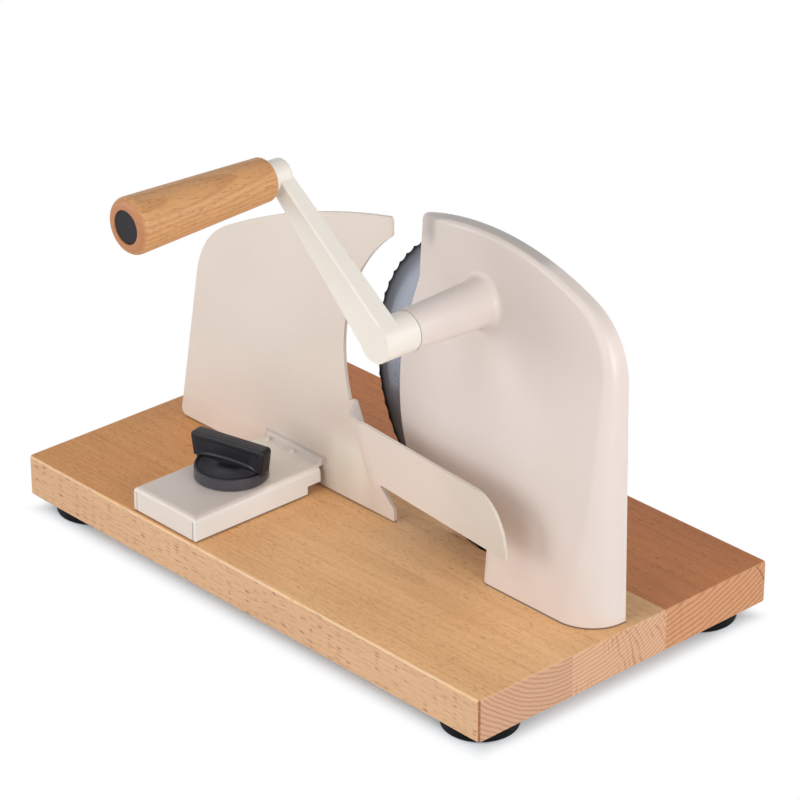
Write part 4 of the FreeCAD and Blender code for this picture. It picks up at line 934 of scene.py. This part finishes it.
@dataclass
class ClampKnob:
    """Wing knob: a dished round foot under a bar with a finger hollow in each face."""

    frame: Frame
    turn: float = 13.5
    foot_radius: float = 0.0204
    foot_height: float = 0.0069
    rim_round: float = 0.0008
    rim_width: float = 0.0012
    dish_depth: float = 0.0017
    dish_inside: float = 0.0066
    bore_gap: float = 0.00015
    base_length: float = 0.0450
    top_length: float = 0.0490
    wing_width: float = 0.0084
    wing_buried: float = 0.0022
    end_round: float = 0.0013
    top_round: float = 0.0011
    corner_round: float = 0.0026
    bar_height: float = 0.0024
    hollow_depth: float = 0.0017
    hollow_full: float = 0.55
    hollow_end: float = 0.94
    bar_blend: float = 0.0014
    lip_height: float = 0.0022
    lip_end: float = 0.0010
    lip_blend: float = 0.0009
    lip_share: float = 0.62
    undercut: float = 0.0026
    undercut_gap: float = 0.0002
    least_round: float = 0.0002
    crease: float = 38.0
    steps: int = 96

    def build(self) -> bpy.types.Object:
        """Makes the foot and the wing as one piece that stands for the CAD knob."""
        low, high = self.frame.corners("clamp_knob")
        nut_low, nut_high = self.frame.corners("knob_nut")
        washer_low, washer_high = self.frame.corners("clamp_washer")
        axis = (nut_low + nut_high) / 2
        nut = ((nut_high.x - nut_low.x) / 2, nut_high.z - low.z)
        washer = ((washer_high.x - washer_low.x) / 2, max(washer_high.z - low.z, 0.0))
        foot = self._foot(nut, washer)
        wing = self._wing(high.z - low.z)
        base = np.array([axis.x, axis.y, low.z])
        turned = np.radians(self.turn)
        turning = np.array([[np.cos(turned), np.sin(turned), 0.0],
                            [-np.sin(turned), np.cos(turned), 0.0], [0.0, 0.0, 1.0]])
        piece = skin("wing_knob", [foot @ turning + base, wing @ turning + base], True,
                     math.radians(self.crease))
        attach(piece, "knob")
        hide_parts("clamp_knob")
        return piece

    def _foot(self, nut: tuple[float, float], washer: tuple[float, float]) -> np.ndarray:
        """Profile turned round the axis: bore for nut and washer, rounded rim, ring-shaped dish.

        Args:
            nut: Radius of the nut and height of its top above the foot's underside.
            washer: The same of the washer.

        Returns:
            Grid of profile points x steps; the dish falls by depth * sin(pi * t ** 0.7) ** 0.7,
            t running from the rim to the wing's root.
        """
        gap, edge = self.bore_gap, self.rim_round
        nut_radius, nut_top = nut[0] + gap, nut[1] + gap
        washer_radius, washer_top = washer[0] + gap, washer[1] + gap
        quarter = np.linspace(0.0, np.pi / 2, 7)
        radius, height = self.foot_radius, self.foot_height
        inner_rim = radius - edge - self.rim_width
        share = np.linspace(0.0, 1.0, 25)
        dish_radius = inner_rim + (self.dish_inside - inner_rim) * share
        dish_fall = self.dish_depth * np.abs(np.sin(np.pi * share ** 0.7)) ** 0.7
        across = np.concatenate([
            [0.0, nut_radius, nut_radius, washer_radius, washer_radius, radius - edge / 2, radius],
            radius - edge + edge * np.cos(quarter), dish_radius, [0.0]])
        up = np.concatenate([
            [nut_top, nut_top, washer_top, washer_top, 0.0, 0.0, edge / 2],
            height - edge + edge * np.sin(quarter), height - dish_fall, [height]])
        turn = np.linspace(0.0, 2 * np.pi, self.steps, endpoint=False)
        return np.stack([across[:, None] * np.cos(turn), across[:, None] * np.sin(turn),
                         np.broadcast_to(up[:, None], (len(up), self.steps))], axis=-1)

    def _wing(self, top: float) -> np.ndarray:
        """Bar lofted over rounded oblong loops, thinned by the finger hollows.

        Args:
            top: Height of the wing's top above the foot's underside.

        Returns:
            Grid of levels x loop points. A loop point is (sx * (a - r) + r * cx,
            sy * (b - r) + r * cy), a growing from the base to the top, and its width is
            multiplied by 1 - hollow / b.
        """
        side = np.linspace(-1.0, 1.0, 61)[1:-1]
        arc = np.linspace(0.0, np.pi / 2, 7)
        one = np.ones_like(arc)
        sx = np.concatenate([side, one, one, -side, -one, -one])
        sy = np.concatenate([-np.ones_like(side), -one, one, np.ones_like(side), one, -one])
        cx = np.concatenate([0 * side, np.sin(arc), np.cos(arc), 0 * side, -np.sin(arc),
                             -np.cos(arc)])
        cy = np.concatenate([0 * side - 1, -np.cos(arc), np.sin(arc), 0 * side + 1, np.cos(arc),
                             -np.sin(arc)])
        start = self.foot_height - self.wing_buried
        quarter = np.linspace(0.0, np.pi / 2, 6)
        edge = self.top_round
        walls = np.linspace(start, top - edge, 64)
        level = np.concatenate([[start], walls, top - edge + edge * np.sin(quarter[1:]), [top]])
        inset = np.concatenate([[0.0], 0 * walls, edge * (1 - np.cos(quarter[1:])), [edge]])
        spread = np.concatenate([[0.0], 0 * walls + 1, 0 * quarter[1:] + 1, [0.0]])
        share = np.clip((level - self.foot_height) / (top - self.foot_height), 0.0, 1.0)
        rounding = np.clip((level - top + self.corner_round) / self.corner_round, 0.0, 1.0)
        shorter = self.corner_round * (1.0 - np.sqrt(1.0 - rounding * rounding * 0.96))
        full_length = self.base_length + (self.top_length - self.base_length) * share
        half_length = full_length / 2 - shorter
        half_width = self.wing_width / 2 - inset
        corner = np.maximum(self.end_round - inset, self.least_round)
        along = sx * (half_length - corner)[:, None] + corner[:, None] * cx
        wide = sy * (half_width - corner)[:, None] + corner[:, None] * cy
        hollow = self._hollow(along / half_length[:, None], level[:, None], top)
        wide = wide * (1.0 - hollow / (self.wing_width / 2)) * spread[:, None]
        return np.stack([along, wide, np.broadcast_to(level[:, None], along.shape)], axis=-1)

    def _hollow(self, along: np.ndarray, level: np.ndarray, top: float) -> np.ndarray:
        """Depth of a finger hollow.

        Args:
            along: Place along the wing, -1 to 1.
            level: Height above the foot's underside.
            top: Height of the wing's top.

        Returns:
            The larger of depth * (1 - ends) * (under the bar) * (above the lip) and the
            undercut below the lip, where the lip is an arch: lip_end + lip_height *
            (1 - along ** 2) over the foot.
        """
        ends = smooth_step(np.abs(along), self.hollow_full, self.hollow_end)
        bar = top - self.bar_height
        under_bar = 1.0 - smooth_step(level, bar - self.bar_blend, bar)
        lip = self.foot_height + self.lip_end + self.lip_height * (1.0 - along * along)
        above_lip = self.lip_share + (1.0 - self.lip_share) * smooth_step(
            level, lip, lip + self.lip_blend)
        finger = self.hollow_depth * (1.0 - ends) * under_bar * above_lip
        below = self.undercut * (1.0 - smooth_step(level, lip - self.lip_blend,
                                                   lip - self.undercut_gap))
        return np.maximum(finger, below)

    def dress(self) -> None:
        """Builds the knob and gives it its charcoal plastic."""
        piece = self.build()
        # Painted light on the foot's side, below its rim.
        rim = self.frame.corners("clamp_knob")[0].z + self.foot_height
        plastic = Moulded("knob_plastic", shown(25, 24, 30), shown(41, 41, 48), roughness=0.34,
                          grain_size=3200.0, gloss=0.27, lit_side=shown(76, 74, 80),
                          lit_side_below=rim)
        paint(piece, plastic.material())
        LOG.info("%s: knob_plastic", piece.name)


# ---------------------------------------------------------------- studio
@dataclass
class Softbox:
    """Square lamp that faces a point."""

    name: str
    place: Triple
    watts: float
    size: float = 1.2

    def build(self, target: Vector) -> None:
        """Adds the lamp, turned towards target."""
        lamp = bpy.data.lights.new(self.name, "AREA")
        lamp.shape = "SQUARE"
        lamp.size = self.size
        lamp.energy = self.watts
        holder = bpy.data.objects.new(self.name, lamp)
        holder.location = Vector(self.place)
        holder.rotation_euler = (Vector(self.place) - target).to_track_quat("Z", "Y").to_euler()
        bpy.context.scene.collection.objects.link(holder)


@dataclass
class Studio:
    """White room with large soft lamps and a pale floor."""

    frame: Frame
    sky: float = 0.13
    near_floor: Colour = (1.0, 1.10, 1.18)
    lift: Colour = (0.08, 0.09, 0.10)
    room_floor: float = 0.86
    white_from: float = -0.012
    white_at: float = 0.005
    corner_blend: float = 0.006
    floor_reach: float = 30.0
    floor_drop: float = 0.0003

    def build(self) -> None:
        """Adds the world, the floor and the lamps."""
        self._world()
        self._floor()
        target = self.frame.centre("housing_shell")
        lamps = [
            Softbox("lamp_left", (-1.3, -1.7, 0.6), watts=20.5),
            Softbox("lamp_front", (0.2, -2.2, 0.6), watts=7.5),
            Softbox("lamp_right", (2.1, -0.3, 0.6), watts=28.0),
            Softbox("lamp_rear", (1.7, 1.2, 0.7), watts=7.0),
            Softbox("lamp_above", (0.0, 0.0, 2.2), watts=7.0),
            Softbox("lamp_high", (0.1, -1.5, 1.8), watts=8.0),
        ]
        for lamp in lamps:
            lamp.build(target)
            LOG.info("%s: %.0f W", lamp.name, lamp.watts)

    def _world(self) -> None:
        """White to the camera, in reflections and through gaps, a plain level otherwise."""
        s = Shader("white_room", world=True)
        level = s.node("ShaderNodeMapRange", None,
                       {"Value": s.seen(), "To Min": self.sky, "To Max": 1.0})
        background = s.node("ShaderNodeBackground", None,
                            {"Color": (1.0,) * 4, "Strength": Val(s, level.outputs[0])})
        s.node("ShaderNodeOutputWorld", None, {"Surface": Val(s, background.outputs[0])})
        bpy.context.scene.world = s.owner

    def _floor(self) -> None:
        """White floor that still takes the slicer's shadow.

        Its whiteness grows with the distance outside the board's rectangle.
        """
        reach = self.floor_reach
        side = np.linspace(-reach, reach, 9)
        x, y = np.meshgrid(side, side, indexing="xy")
        floor = skin("floor", [np.stack([x, y, np.full_like(x, -self.floor_drop)], axis=-1)])
        low = self.frame.corners("board_stave_front")[0]
        high = self.frame.corners("board_stave_back")[1]
        s = Shader("floor_white")
        seen = s.seen()
        x, y, _ = s.split(s.place())
        beside = abs(x - (low.x + high.x) / 2) - (high.x - low.x) / 2
        ahead = abs(y - (low.y + high.y) / 2) - (high.y - low.y) / 2
        outside = s.math("SMOOTH_MAX", beside, ahead, self.corner_blend)
        away = outside.rise(self.white_from, self.white_at)
        matte = s.node("ShaderNodeBsdfDiffuse", None,
                       {"Color": s.blend(seen, (self.room_floor,) * 3, self.near_floor)})
        lift = s.node("ShaderNodeEmission", None, {"Color": (*self.lift, 1.0), "Strength": seen})
        near = s.node("ShaderNodeAddShader", None,
                      {0: Val(s, matte.outputs[0]), 1: Val(s, lift.outputs[0])})
        white = s.node("ShaderNodeEmission")
        mix = s.node("ShaderNodeMixShader", None,
                     {0: seen * away, 1: Val(s, near.outputs[0]), 2: Val(s, white.outputs[0])})
        s.node("ShaderNodeOutputMaterial", None, {"Surface": Val(s, mix.outputs[0])})
        paint(floor, s.owner)


@dataclass
class ProductCamera:
    """Long-lens camera placed from the middle of the board's top."""

    frame: Frame
    offset: Triple = (1.269766, -1.168650, 0.921470)
    yaw: float = 47.154
    pitch: float = 26.42
    lens: float = 163.29
    sensor: float = 36.0
    far_end: float = 100.0

    def build(self) -> None:
        """Adds the camera and makes it the scene's."""
        low = self.frame.corners("board_stave_front")[0]
        back = self.frame.corners("board_stave_back")[1]
        board_top = Vector(((low.x + back.x) / 2, (low.y + back.y) / 2, back.z))
        data = bpy.data.cameras.new("camera")
        data.lens = self.lens
        data.sensor_width = self.sensor
        data.sensor_fit = "HORIZONTAL"
        data.clip_end = self.far_end
        camera = bpy.data.objects.new("camera", data)
        camera.location = board_top + Vector(self.offset)
        camera.rotation_euler = Euler((math.radians(90 - self.pitch), 0.0, math.radians(self.yaw)))
        bpy.context.scene.collection.objects.link(camera)
        bpy.context.scene.camera = camera


def main() -> None:
    """Loads the frame, dresses each sub-assembly and sets up the studio."""
    logging.basicConfig(level=logging.INFO, format="%(name)s: %(message)s")
    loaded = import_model()
    frame = Frame(loaded["nodes"])
    ProductCamera(frame).build()
    for assembly in (Board, Housing, BladeUnit, Crank, Handle, Gauge, ClampKnob):
        assembly(frame).dress()
    Studio(frame).build()
    bpy.context.scene.view_settings.view_transform = "Standard"


if __name__ == "__main__":
    main()
